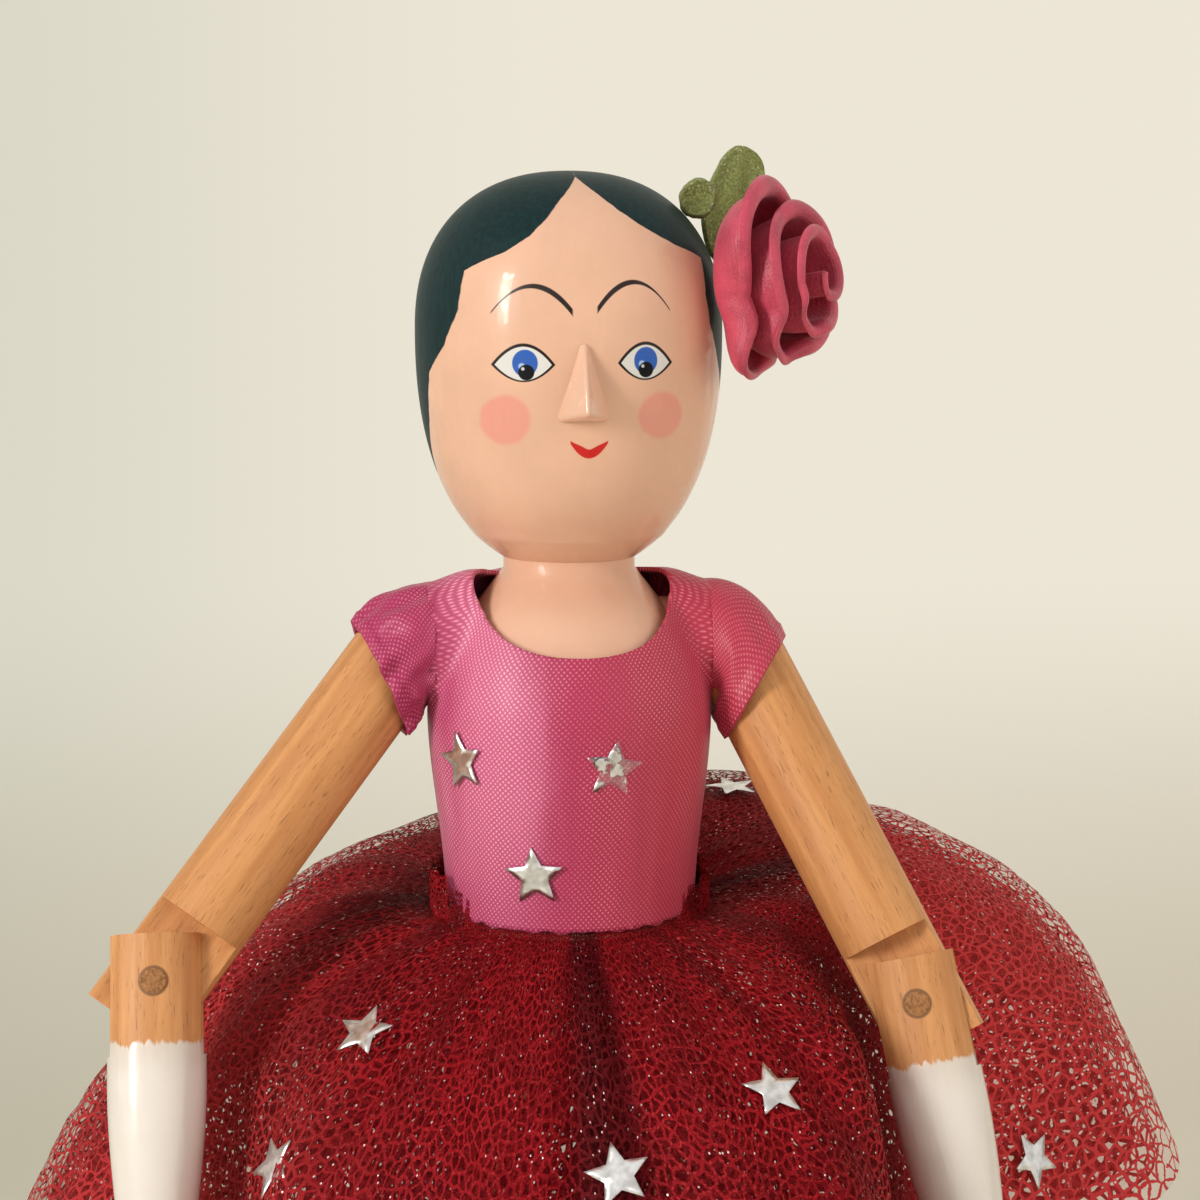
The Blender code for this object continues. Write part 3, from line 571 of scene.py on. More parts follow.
def head_paint():
    paint = bpy.context.scene.doll_paint
    material, shader, start = finish("head_enamel", Coat_Roughness=0.07, Coat_IOR=1.38, Specular_IOR_Level=0.16)
    spot = place_of(start, (0, 0, HEAD_Z))
    x, y, z = spot.parts()
    cloud = spot.noise(0.09, 3).rise(0.3, 0.7)
    brushed = spot.scaled(1, 1, 0.25).noise(0.9, 3)
    tone = cloud.mix(times(paint.flesh, 0.955), times(paint.flesh, 1.03))
    # Painted shade: the enamel darkens towards the bottom of the chin and just under it.
    below = z.rise(-18, -34) * z.rise(-39, -34)
    tone = (below * 0.45).mix(tone, (0.66, 0.33, 0.205))
    front = y.rise(1.0, -1.0)

    for center, radius in (((-9.8, -10.7), 3.5), ((9.9, -10.2), 3.35)):
        wobble = (brushed - 0.5) * 0.9
        cheek = disc(x - center[0] + wobble, z - center[1], radius, 0.75) * front
        tone = (cheek * 0.62).mix(tone, paint.cheek)
    across, up = x - 0.55, z + 14.25
    curve = up - across**2.0 * 0.125
    inside = 1 - (across / 2.45) ** 2.0
    bow = 0.32 - (across**2.0 * -1.6).math("EXPONENT") * 0.38
    lips = inside.rise(0, 0.10) * (bow - curve).rise(-0.05, 0.10) * (curve + inside * 1.28).rise(-0.05, 0.10)
    tone = (lips * front).mix(tone, paint.lips)
    for args in (((-6.6, 5.95), 0.133, 5.1, 1), ((6.2, 6.45), 0.152, 4.9, -1)):
        tone = (brow(x, z, *args) * front).mix(tone, paint.line)
    face = eye_paint(tone, x, z, paint, (-7.68, -3.75), 3.5, 2.3, 2.0, (0.35, -0.95))
    face = eye_paint(face, x, z, paint, (7.68, -3.55), 3.25, 2.3, 2.0, (0.05, -0.85))
    tone = front.mix(tone, face)

    left = hair_edge(
        z, ((-29, 180), (-23, 120), (-18.1, 86), (-11.3, 74), (-5, 68.5), (-1.5, 57), (3, 49.5), (7.9, 48.5),
            (9.0, 41), (10.2, 31), (12.2, 21.8), (14.5, 15.5), (16.7, 10.5), (18.6, 4.5), (19.9, 0))
    )
    right = hair_edge(
        z, ((-29, 180), (-23, 120), (-18, 98), (-9.2, 82), (-4.2, 68), (1.3, 57), (5, 55), (9.6, 58.5),
            (10.2, 53), (11.1, 42.5), (12.3, 34), (13.6, 26.5), (15.4, 18.5), (17.4, 11), (18.8, 5), (19.9, 0))
    )
    azimuth = x.math("ARCTAN2", y * -1) * (180 / math.pi)
    edge = left + (right - left) * x.rise(-0.4, 0.4) + (spot.noise(0.8, 2) - 0.5) * 1.1
    hair = (abs(azimuth) - edge).rise(-0.35, 0.35) * z.rise(-29, -28)
    strands = spot.scaled(1, 1, 0.35).noise(1.6, 3).rise(0.35, 0.75)
    dark = strands.mix(times(paint.hair, 0.7), times(paint.hair, 1.15))
    feed(shader, Base_Color=hair.mix(tone, dark), Roughness=hair * 0.22 + 0.26 + brushed * 0.05)
    patches = spot.scaled(1, 1, 0.45).noise(0.55, 3).rise(0.38, 0.60) * 0.55 + 0.15
    feed(shader, Coat_Weight=patches - hair * (patches - 0.06))
    relief = brushed * 0.35 + hair * 0.5 + spot.noise(0.22, 2) * 0.6
    feed(shader, Normal=bump(relief, 0.22, 0.0004))
    return material


def hair_edge(z, points):
    """The azimuth where the hair starts, in degrees from the front, as a ramp over height."""
    low, high = points[0][0], points[-1][0]
    stops = [((height - low) / (high - low), angle / 180) for height, angle in points]
    share = (z - low) / (high - low)
    ramp = z.node("ShaderNodeValToRGB", {"stops": stops, "ramp": "LINEAR"}, {0: share})
    return ramp.parts()[0] * 180


def flesh_paint():
    paint = bpy.context.scene.doll_paint
    material, shader, start = finish("nose_enamel", Coat_Weight=0.85, Coat_Roughness=0.07, Specular_IOR_Level=0.45)
    spot = place_of(start)
    cloud = spot.noise(0.4, 3)
    tone = cloud.mix(times(paint.flesh, 0.95), times(paint.flesh, 1.03))
    feed(shader, Base_Color=tone, Roughness=cloud * 0.08 + 0.22, Normal=bump(cloud, 0.12, 0.0004))
    return material


def wood_color(spot):
    """Colour and relief of a dowel whose grain runs along its own Z."""
    wood = bpy.context.scene.doll_wood
    wide = spot.scaled(0.55, 0.55, 0.035).noise(1.0, 4, 0.6)
    fine = spot.scaled(5.5, 5.5, 0.32).noise(1.0, 3, 0.6)
    pores = spot.scaled(5.0, 5.0, 0.45).noise(1.0, 2, 0.5).rise(0.62, 0.70)
    tone = wide.rise(0.3, 0.7).mix(wood.light, wood.dark)
    tone = (fine.rise(0.45, 0.75) * 0.4).mix(tone, wood.dark)
    tone = (pores * 0.5).mix(tone, wood.pore)
    return tone, fine * 0.5 - pores * 0.8


def bare_wood():
    material, shader, start = finish("bare_dowel", Specular_IOR_Level=0.35)
    spot = own_place(start)
    tone, relief = wood_color(spot)
    feed(shader, Base_Color=tone, Roughness=relief * -0.08 + 0.5, Normal=bump(relief, 0.35, 0.0002))
    return material


def painted_limb(name, slipper=False):
    """Bare wood at the fork, then a brushed edge into enamel."""
    paint, wood = bpy.context.scene.doll_paint, bpy.context.scene.doll_wood
    material, shader, start = finish(name, Coat_Roughness=0.06, Specular_IOR_Level=0.45)
    spot = own_place(start)
    x, y, z = spot.parts()
    tone, relief = wood_color(spot)
    bristle = spot.scaled(1.5, 1.5, 0.08).noise(1.0, 3, 0.6)
    drift = spot.noise(0.22, 2)
    edge = z + (bristle - 0.5) * 2.6 + (drift - 0.5) * 3.0
    line = -wood.bare * 1000
    enamel = edge.rise(line + 0.35, line - 0.35)
    thin = edge.rise(line - 0.2, line - 5.5)
    coat = (thin * 0.75 + 0.25).mix((0.70, 0.60, 0.50), paint.white)
    coat = (drift.rise(0.35, 0.65) * 0.12).mix(coat, (0.72, 0.62, 0.55))
    if slipper:
        shoe = (z + (y * 0.32) + (drift - 0.5) * 0.8).rise(-80.4, -81.0)
        coat = shoe.mix(coat, paint.slipper)
    around = ((y if slipper else x) ** 2.0 + z**2.0) ** 0.5
    tone = (abs(around - PEG_RADIUS * 1000).rise(0.34, 0.08) * 0.85).mix(tone, wood.pore)
    feed(shader, Base_Color=enamel.mix(tone, coat), Coat_Weight=enamel * 0.9)
    feed(shader, Roughness=enamel * -0.3 + 0.5 + bristle * 0.06)
    height = relief * (1 - enamel) + enamel * (bristle * 0.35 + 1.2 + drift * 0.8)
    feed(shader, Normal=bump(height, 0.3, 0.00025))
    return material


def peg_wood():
    wood = bpy.context.scene.doll_wood
    material, shader, start = finish("peg_end", Specular_IOR_Level=0.3)
    spot = place_of(start)
    speck = spot.noise(2.6, 3).rise(0.35, 0.7)
    tone = speck.mix(wood.peg, times(wood.peg, 0.55))
    feed(shader, Base_Color=tone, Roughness=speck * 0.15 + 0.55, Normal=bump(speck, 0.3, 0.0002))
    return material


def satin_finish(name):
    """Satin with diagonal rows of floats, from the piece's own flat coordinates, with painted light: painted glints
    on the floats, an upright band of painted sheen and a painted shaded right side.
    """
    cloth = bpy.context.scene.doll_cloth
    material, shader, start = finish(
        name, Specular_IOR_Level=0.35, Sheen_Weight=0.12, Sheen_Roughness=0.4, Sheen_Tint=(1.0, 0.62, 0.78, 1)
    )
    u, v, _ = cut_place(start).parts()
    spot = place_of(start)
    x, _, z = spot.parts()
    pitch = cloth.weave * 1000
    warp = (spot.noise(0.35, 2) - 0.5) * 0.8
    row = ((u * 1000 + v * 900 + warp) / pitch * (2 * math.pi)).math("SINE") * 0.5 + 0.5
    column = ((u * 1000 - v * 1150 + warp) / pitch * (2 * math.pi)).math("SINE") * 0.5 + 0.5
    weave = row * column
    soft = spot.scaled(1, 1, 0.3).noise(0.16, 3)
    # Painted highlight: an upright band of sheen left of the middle of the upper bodice.
    band = abs(x + 12.0 + (soft - 0.5) * 9)
    sheen = band.rise(9.5, 1.5) * z.rise(186, 214)
    # Painted light and shade: the satin goes from its lit colour on the left to its painted shaded colour on the
    # right.
    tone = (x + (soft - 0.5) * 8).rise(-12, 12).mix(cloth.satin, cloth.satin_shaded_side)
    tone = (sheen * 0.75).mix(tone, cloth.sheen)
    tone = (weave.rise(0.30, 0.02) * 0.42).mix(tone, times(cloth.satin, 0.5))
    # The floats are the weave's own pattern; their pale colour is painted glint, strongest inside the painted sheen
    # band.
    float_glint = sheen * 0.55 + soft.rise(0.4, 0.62) * 0.25 + 0.16
    tone = (weave.rise(0.45, 0.9) * float_glint).mix(tone, (0.95, 0.50, 0.60))
    feed(shader, Base_Color=tone, Roughness=weave * -0.12 + 0.44 + soft * 0.06)
    feed(shader, Normal=bump(weave * 0.5 + soft * 0.5, 0.22, 0.0003))
    return material


def net_finish(name, layer):
    """Crinkled net: fibres round irregular holes, with glitter that catches the light, painted light through the net
    at its sides and painted shade in the valleys of its folds.
    """
    cloth = bpy.context.scene.doll_cloth
    seed = layer["seed"]
    material, shader, start = finish(name, Specular_IOR_Level=0.12)
    x, _, _ = place_of(start).parts()
    sides = x.rise(26, 54).math("MAXIMUM", x.rise(-22, -52) * 0.7)
    flat = cut_place(start)
    offset = start.node("ShaderNodeVectorMath", {"operation": "ADD"}, {0: flat, 1: (seed * 0.173, seed * 0.319, 0)})
    mm = offset.scaled(1000, 1000, 1000)
    bent = {0: mm.noise(0.5, 3.0, output=1), 1: (1.1, 1.1, 0), 2: mm}
    bent = start.node("ShaderNodeVectorMath", {"operation": "MULTIPLY_ADD"}, bent)
    wall = bent.cells(0.001 / cloth.hole, "DISTANCE_TO_EDGE")
    pick = bent.cells(0.001 / cloth.hole, output=1)
    shade = pick.parts()[0]
    fibre = bent.noise(2.6, 4.0)
    size = shade * 0.10 + 0.035 + (1 - sides * 0.5) * layer["dense"] + (fibre - 0.5) * 0.16
    hole = (wall - size).rise(-0.02, 0.05)
    strand = fibre.rise(0.50, 0.70)
    tone = mm.noise(0.06, 3).rise(0.35, 0.65).mix(cloth.net, times(cloth.net, 1.7))
    # Lighter fibres at random, and painted light: the skirt's sides are painted lighter, as light shining through
    # the net.
    tone = (strand * 0.62).math("MAXIMUM", sides * 0.92).mix(tone, cloth.net_fibre_and_painted_light)
    # Painted shade: the net is darkened in the valleys of its folds, away from the sides.
    turn_round = flat.parts()[0] * (2 * math.pi / layer["width"])
    fold = sum((turn_round * count).math("COSINE") * share for count, share in FOLDS)
    tone = (fold.rise(0.15, 0.95) * (1 - sides) * 0.75).mix(tone, (0.045, 0.0006, 0.0022))
    far = mm.cells(1.25)
    chance = mm.cells(1.25, output=1).parts()[1]
    thick = mm.noise(0.04, 2).rise(0.50, 0.70) * 0.14 + 0.025
    glitter = far.rise(0.24, 0.14) * (chance - (1 - thick)).rise(-0.004, 0.004)
    tone = glitter.mix(tone, (0.95, 0.70, 0.66))
    feed(shader, Base_Color=tone, Alpha=(1 - hole * 0.86).math("MAXIMUM", glitter))
    feed(shader, Metallic=glitter * 0.7, Roughness=glitter * -0.4 + 0.62)
    feed(shader, Normal=bump(fibre * 0.8 - hole * 0.4 + glitter * 0.5, 0.6, 0.0004))
    return material


def ribbon_finish():
    cloth = bpy.context.scene.doll_cloth
    material, shader, start = finish(
        "ribbon", Specular_IOR_Level=0.4, Sheen_Weight=0.35, Sheen_Roughness=0.4, Sheen_Tint=(1.0, 0.55, 0.62, 1)
    )
    spot = place_of(start)
    cloud = spot.noise(0.25, 3)
    grain = spot.noise(3.4, 3)
    _, v, _ = cut_place(start).parts()
    rib = (v * 9500).math("SINE") * 0.5 + 0.5
    tone = cloud.rise(0.3, 0.7).mix(times(cloth.ribbon, 0.8), times(cloth.ribbon, 1.15))
    # Painted glints: small lighter specks painted on the ribbon, where its satin catches the light.
    tone = (grain.rise(0.5, 0.72) * 0.42).mix(tone, (0.72, 0.13, 0.19))
    feed(shader, Base_Color=tone, Roughness=cloud * 0.12 + 0.34)
    feed(shader, Normal=bump(rib * 0.15 + grain * 0.85, 0.4, 0.0003))
    return material


def velvet_finish():
    cloth = bpy.context.scene.doll_cloth
    material, shader, start = finish(
        "leaf_velvet", Specular_IOR_Level=0.2, Sheen_Weight=0.4, Sheen_Roughness=0.5, Sheen_Tint=(0.85, 0.9, 0.55, 1)
    )
    spot = place_of(start)
    out, _, _ = cut_place(start).parts()
    pile = spot.noise(3.2, 4, 0.65)
    tone = pile.rise(0.3, 0.7).mix(times(cloth.leaf, 0.55), times(cloth.leaf, 1.3))
    speck = spot.noise(3.0, 2).rise(0.60, 0.70) * (out.rise(0.45, 0.95) * 0.75 + 0.15)
    tone = (speck * 0.85).mix(tone, (0.78, 0.78, 0.60))
    feed(shader, Base_Color=tone, Roughness=speck * -0.5 + 0.9, Normal=bump(pile, 0.7, 0.0005))
    return material


def foil_finish(name, worn=False):
    """Silvered foil; where it is worn, clear film is left."""
    material, shader, start = finish(name, Metallic=1.0)
    spot = place_of(start)
    cloud = spot.noise(0.7, 2)
    scratch = spot.scaled(9, 9, 1.2).noise(1.0, 2).rise(0.55, 0.75)
    tone = cloud.rise(0.3, 0.7).mix((0.62, 0.60, 0.58), (0.90, 0.89, 0.88))
    feed(shader, Base_Color=tone, Roughness=scratch * 0.14 + 0.30 + cloud * 0.08, Normal=bump(cloud, 0.15, 0.0003))
    if worn:
        feed(shader, Alpha=(spot.noise(0.55, 3) - 0.03).rise(0.47, 0.53) * 0.85 + 0.15)
    return material


def wrapped_flat(shape, scale, top):
    """Flat coordinates of cloth wrapped round the body: arc length across and height along."""
    layer = shape.loops.layers.uv.new("cloth")
    for face in shape.faces:
        middle = face.calc_center_median()
        home = math.atan2(middle.x, -middle.y)
        for loop in face.loops:
            angle = math.atan2(loop.vert.co.x, -loop.vert.co.y)
            angle += 2 * math.pi * round((home - angle) / (2 * math.pi))
            loop[layer].uv = (angle * scale, loop.vert.co.z - top)


def sheet_grid(columns, rows, point, closed, flat):
    """A grid of cloth: point(across, along) places it, and flat is its size as cut, for the weave."""
    shape = bmesh.new()
    layer = shape.loops.layers.uv.new("cloth")
    bmesh.ops.create_grid(shape, x_segments=columns, y_segments=rows, size=1)
    for face in shape.faces:
        for loop in face.loops:
            across, along = (loop.vert.co.x + 1) / 2, (1 - loop.vert.co.y) / 2
            loop[layer].uv = (across * flat[0], along * flat[1])
    spots = {}
    for vert in shape.verts:
        across, along = (vert.co.x + 1) / 2, (1 - vert.co.y) / 2
        spots[vert] = point(across % 1.0 if closed else across, along)
    for vert, spot in spots.items():
        vert.co = spot
    if closed:
        bmesh.ops.remove_doubles(shape, verts=shape.verts, dist=1e-7)
    bmesh.ops.recalc_face_normals(shape, faces=shape.faces)
    return shape


def thicken(thing, thickness, offset=-1):
    wall = thing.modifiers.new("cloth", "SOLIDIFY")
    wall.thickness = thickness
    wall.offset = offset
    return thing


def arm_frames(pose):
    """Frames of the shoulder and the elbow: Y lies along the pegs and Z up the dowel."""
    side = pose["side"]
    shoulder = Matrix.Translation((side * SHOULDER_HALF_SPAN, 0, SHOULDER_Z))
    shoulder = shoulder @ turn(pose["turn"], "Z") @ turn(-pose["forward"], "X") @ turn(-side * pose["splay"], "Y")
    elbow = Matrix.Translation((0, 0, -UPPER_ARM)) @ turn(side * (pose["splay"] - pose["forearm"]), "Y")
    return shoulder, shoulder @ elbow


def peg(radius, half, matrix, name, material, body):
    """A peg with slightly domed, rounded ends, along its frame's Z."""
    dome = [(0, half), (radius * 0.55, half - 0.00004), (radius * 0.9, half - 0.00016), (radius, half - 0.0004)]
    shape = lathe(dome + [(r, -h) for r, h in reversed(dome)], 32)
    made = piece(shape, name, material, body, [name], matrix)


def arm_at(pose, height):
    """Where an arm's middle passes a height, and its half width across there."""
    shoulder, bend = arm_frames(pose)
    hand = bend @ Vector((0, 0, -FOREARM))
    if height > bend.translation.z:
        rise = shoulder.translation - bend.translation
        spot = bend.translation + rise * min((height - bend.translation.z) / rise.z, 1)
        return spot, ARM_RADIUS / math.cos(math.radians(pose["splay"]))
    drop = hand - bend.translation
    return bend.translation + drop * min((height - bend.translation.z) / drop.z, 1), ARM_RADIUS


def net_column(azimuth, layer, rows):
    """Points down one line of the net, before its crinkles, with the share of the way down."""
    run_length = NET_LENGTH * layer["length"]
    spring = NET_SPRING - NET_SPRING_BACK * math.cos(azimuth) + NET_SPRING_LEFT * math.sin(azimuth)
    bend = NET_BEND_POWER * math.exp(NET_BEND_LEFT * math.sin(azimuth))
    fold = -sum(share * math.cos(count * azimuth) for count, share in FOLDS)
    radius = WAIST_RADIUS + CLOTH_GAP + SATIN
    height = NET_TOP - layer["drop"]
    stride = run_length / rows
    points = []
    for row in range(rows + 1):
        share = row * stride / NET_LENGTH
        out = radius + FOLD_DEPTH * fold * step(share / 0.6) - layer["inset"] * step(share / 0.4)
        points.append((out, height, share))
        angle = spring + (NET_HEM_ANGLE - spring) * ((row + 0.5) * stride / NET_LENGTH) ** bend
        radius += math.cos(math.radians(angle)) * stride
        height += math.sin(math.radians(angle)) * stride
    return points


def pressed(azimuth, radius, height, inset, reaches):
    """The net's radius, pushed in where an arm hangs against it."""
    for pose in ARM_POSES:
        spot_angle, reach = reaches(pose, height)
        away = math.atan2(math.sin(azimuth - spot_angle), math.cos(azimuth - spot_angle))
        limit = reach - inset + NET_DENT * away * away
        mix = min(max(0.5 + (limit - radius) / (2 * NET_SOFTNESS), 0), 1)
        radius = limit + (radius - limit) * mix - NET_SOFTNESS * mix * (1 - mix)
    return radius


def arm_reaches():
    """A quick table of each arm's direction and reach by height."""
    table = {}
    for name, pose in ARM_POSES.items():
        for mm in range(80, 241):
            spot, half = arm_at(pose, mm / 1000)
            table[name, mm] = (math.atan2(spot.x, -spot.y), math.hypot(spot.x, spot.y) - half - NET_FROM_ARM)

    def look(name, height):
        low = int(math.floor(height * 1000))
        share = height * 1000 - low
        first, second = table[name, low], table[name, low + 1]
        return tuple(a + (b - a) * share for a, b in zip(first, second))

    return look


class DOLL_OT_head(bpy.types.Operator):
    """Turns the head and body in one piece and paints the face and hair on it"""

    bl_idname = "doll.head"
    bl_label = "Head and body"

    def execute(self, context):
        profile = head_profile() + body_profile(NECK_HEIGHT, -HIP_DROP, 0, 40)[1:]
        body = temporary(lathe(profile, 96))
        carve(body, shoulder_bar(-SLEEVE_ROOM), "UNION")
        block = bmesh.new()
        add_box(
            block,
            (-HIP_BLOCK_HALF_WIDTH, -HIP_BLOCK_RADIUS, HIP_Z - HIP_BLOCK_RADIUS),
            (HIP_BLOCK_HALF_WIDTH, HIP_BLOCK_RADIUS, WAIST_Z - HIP_DROP / 2),
        )
        below = [e for e in block.edges if all(v.co.z < HIP_Z for v in e.verts)]
        along = [e for e in below if abs(e.verts[0].co.x - e.verts[1].co.x) > HIP_BLOCK_RADIUS]
        bmesh.ops.bevel(
            block, geom=along, offset=0.97 * HIP_BLOCK_RADIUS, segments=16, profile=0.5, affect="EDGES", material=-1
        )
        carve(body, block, "UNION")
        slots = bmesh.new()
        half = LEG_TONGUE / 2 + GAP
        for side in (1, -1):
            middle = side * LEG_HALF_GAP
            add_box(slots, (middle - half, -0.04, HIP_Z - 0.02), (middle + half, 0.04, HIP_Z + HIP_REACH))
        carve(body, slots)
        made = piece(take(body), "head_and_body", head_paint(), "torso", ["head_and_body"], angle=40)
        return {"FINISHED"}


class DOLL_OT_nose(bpy.types.Operator):
    """Sets the small wedge of the nose into the face"""

    bl_idname = "doll.nose"
    bl_label = "Nose"

    def execute(self, context):
        low, high = (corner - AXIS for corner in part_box("nose_wedge"))
        shape = bmesh.new()
        bottom, top = NOSE_RADII
        bmesh.ops.create_cone(
            shape, cap_ends=True, segments=3, radius1=bottom, radius2=top, depth=high.z - low.z
        )
        bmesh.ops.rotate(shape, matrix=Matrix.Rotation(math.pi, 3, "Z"), verts=shape.verts)
        bmesh.ops.bevel(
            shape, geom=shape.edges[:], offset=NOSE_EDGE, segments=5, profile=0.5, affect="EDGES", material=-1
        )
        place = Matrix.Translation((-0.0002, low.y + 0.0045, (low.z + high.z) / 2)) @ turn(-9, "X")
        made = piece(shape, "nose_wedge", flesh_paint(), "torso", ["nose_wedge"], place, angle=60)
        return {"FINISHED"}


class DOLL_OT_arms(bpy.types.Operator):
    """Saws the tongues and forks of the arm dowels and hangs them from their pegs"""

    bl_idname = "doll.arms"
    bl_label = "Arms"

    def execute(self, context):
        wood, enamel, ends = bare_wood(), painted_limb("forearm_enamel"), peg_wood()
        wide = 2 * ARM_RADIUS
        for name, pose in ARM_POSES.items():
            shoulder, elbow = arm_frames(pose)
            half, bottom = SHOULDER_TONGUE_HALF, -UPPER_ARM - ELBOW_END
            upper = temporary(lathe([(0, 0), (ARM_RADIUS, 0), (ARM_RADIUS, bottom), (0, bottom)], DOWEL_STEPS))
            cup, cheeks, tongue = bmesh.new(), bmesh.new(), bmesh.new()
            bmesh.ops.create_uvsphere(cup, u_segments=48, v_segments=32, radius=SHOULDER_CUP)
            for side in (1, -1):
                near, far = sorted((side * ARM_TONGUE / 2, side * wide))
                add_box(cheeks, (-wide, near, 2 * bottom), (wide, far, -UPPER_ARM + TONGUE_REACH))
            add_box(tongue, (-half, -ARM_TONGUE / 2, -2 * SHOULDER_CUP), (half, ARM_TONGUE / 2, half))
            carve(carve(carve(upper, cup), cheeks), tongue, "UNION")
            limb(upper, f"upper_arm_{name}", wood, shoulder, BARE_EDGE)

            fore = temporary(lathe(forearm_profile(), DOWEL_STEPS))
            cuts = bmesh.new()
            half = ARM_TONGUE / 2 + GAP
            add_box(cuts, (-wide, -half, -TONGUE_REACH), (wide, half, wide))
            for side in (1, -1):
                near, far = sorted((side * HAND_THICKNESS / 2, side * wide))
                add_box(cuts, (near, -wide, -2 * FOREARM), (far, wide, -FOREARM + HAND_LENGTH))
            carve(fore, cuts)
            limb(fore, f"forearm_{name}", enamel, elbow, PAINTED_EDGE)
            across = elbow @ turn(90, "X")
            peg(PEG_RADIUS, ARM_RADIUS + PEG_PROUD, across, f"elbow_pin_{name}", ends, f"forearm_{name}")
        for name in ("shoulder_pin_left", "shoulder_pin_right", "hip_pin"):
            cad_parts[name].data.materials.clear()
            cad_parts[name].data.materials.append(ends)
        return {"FINISHED"}


def forearm_profile():
    wrist = -FOREARM + HAND_LENGTH
    points = [(0, ELBOW_END), (ARM_RADIUS, ELBOW_END), (ARM_RADIUS, -2 * ARM_RADIUS)]
    for i in range(1, 19):
        share = i / 18
        radius = ARM_RADIUS + (WRIST_RADIUS - ARM_RADIUS) * step(share)
        points.append((radius, -2 * ARM_RADIUS + (wrist + 2 * ARM_RADIUS) * share))
    for i in range(1, 20):
        share = i / 20
        swell = math.sin(math.pi * share**0.8) * (HAND_RADIUS - WRIST_RADIUS)
        points.append((WRIST_RADIUS * math.sqrt(1 - share**3) + swell, wrist - HAND_LENGTH * share))
    return [*points, (0, -FOREARM)]


class DOLL_OT_legs(bpy.types.Operator):
    """Makes the legs like the arms, with feet to stand on"""

    bl_idname = "doll.legs"
    bl_label = "Legs"

    def execute(self, context):
        wood, enamel, ends = bare_wood(), painted_limb("leg_enamel", slipper=True), peg_wood()
        wide = 2 * LEG_RADIUS
        for name, pose in ARM_POSES.items():
            hip = Matrix.Translation((pose["side"] * LEG_HALF_GAP, 0, HIP_Z))
            knee = hip @ Matrix.Translation((0, 0, -THIGH))
            top, bottom = HIP_BLOCK_RADIUS - GAP, -THIGH - KNEE_END
            turns = [i * math.pi / 16 for i in range(9)]
            dome = [(LEG_RADIUS * math.sin(a), top - LEG_RADIUS + LEG_RADIUS * math.cos(a)) for a in turns]
            thigh = temporary(lathe([*dome, (LEG_RADIUS, bottom), (0, bottom)], DOWEL_STEPS))
            cheeks = bmesh.new()
            for side in (1, -1):
                near, far = sorted((side * LEG_TONGUE / 2, side * wide))
                add_box(cheeks, (near, -wide, -HIP_REACH), (far, wide, 2 * wide))
                add_box(cheeks, (near, -wide, 2 * bottom), (far, wide, -THIGH + KNEE_REACH))
            carve(thigh, cheeks)
            limb(thigh, f"thigh_{name}", wood, hip, BARE_EDGE)

            leg = temporary(lathe(lower_leg_profile(), DOWEL_STEPS))
            foot = bmesh.new()
            bmesh.ops.create_uvsphere(foot, u_segments=48, v_segments=24, radius=1)
            bmesh.ops.scale(foot, vec=FOOT_SIZE, verts=foot.verts)
            bmesh.ops.translate(foot, vec=(0, -FOOT_FORWARD, -LOWER_LEG), verts=foot.verts)
            carve(leg, foot, "UNION")
            cuts = bmesh.new()
            half = LEG_TONGUE / 2 + GAP
            add_box(cuts, (-half, -wide, -KNEE_REACH), (half, wide, wide))
            add_box(cuts, (-0.05, -0.05, -2 * LOWER_LEG), (0.05, 0.05, -LOWER_LEG))
            carve(leg, cuts)
            limb(leg, f"lower_leg_{name}", enamel, knee, PAINTED_EDGE)
            across = knee @ turn(90, "Y")
            peg(PEG_RADIUS, LEG_RADIUS + PEG_PROUD, across, f"knee_pin_{name}", ends, f"lower_leg_{name}")
        return {"FINISHED"}


def lower_leg_profile():
    start, end = -2 * LEG_RADIUS, -LOWER_LEG + FOOT_SIZE[2] / 2
    points = [(0, KNEE_END), (LEG_RADIUS, KNEE_END), (LEG_RADIUS, start)]
    for i in range(1, 25):
        share = i / 24
        taper = LEG_RADIUS + (ANKLE_RADIUS - LEG_RADIUS) * step((share - 0.15) / 0.85)
        calf = (CALF_RADIUS - LEG_RADIUS) * math.sin(math.pi * min(1.0, 2 * share))
        points.append((taper + calf, start + (end - start) * share))
    return [*points, (0, end)]


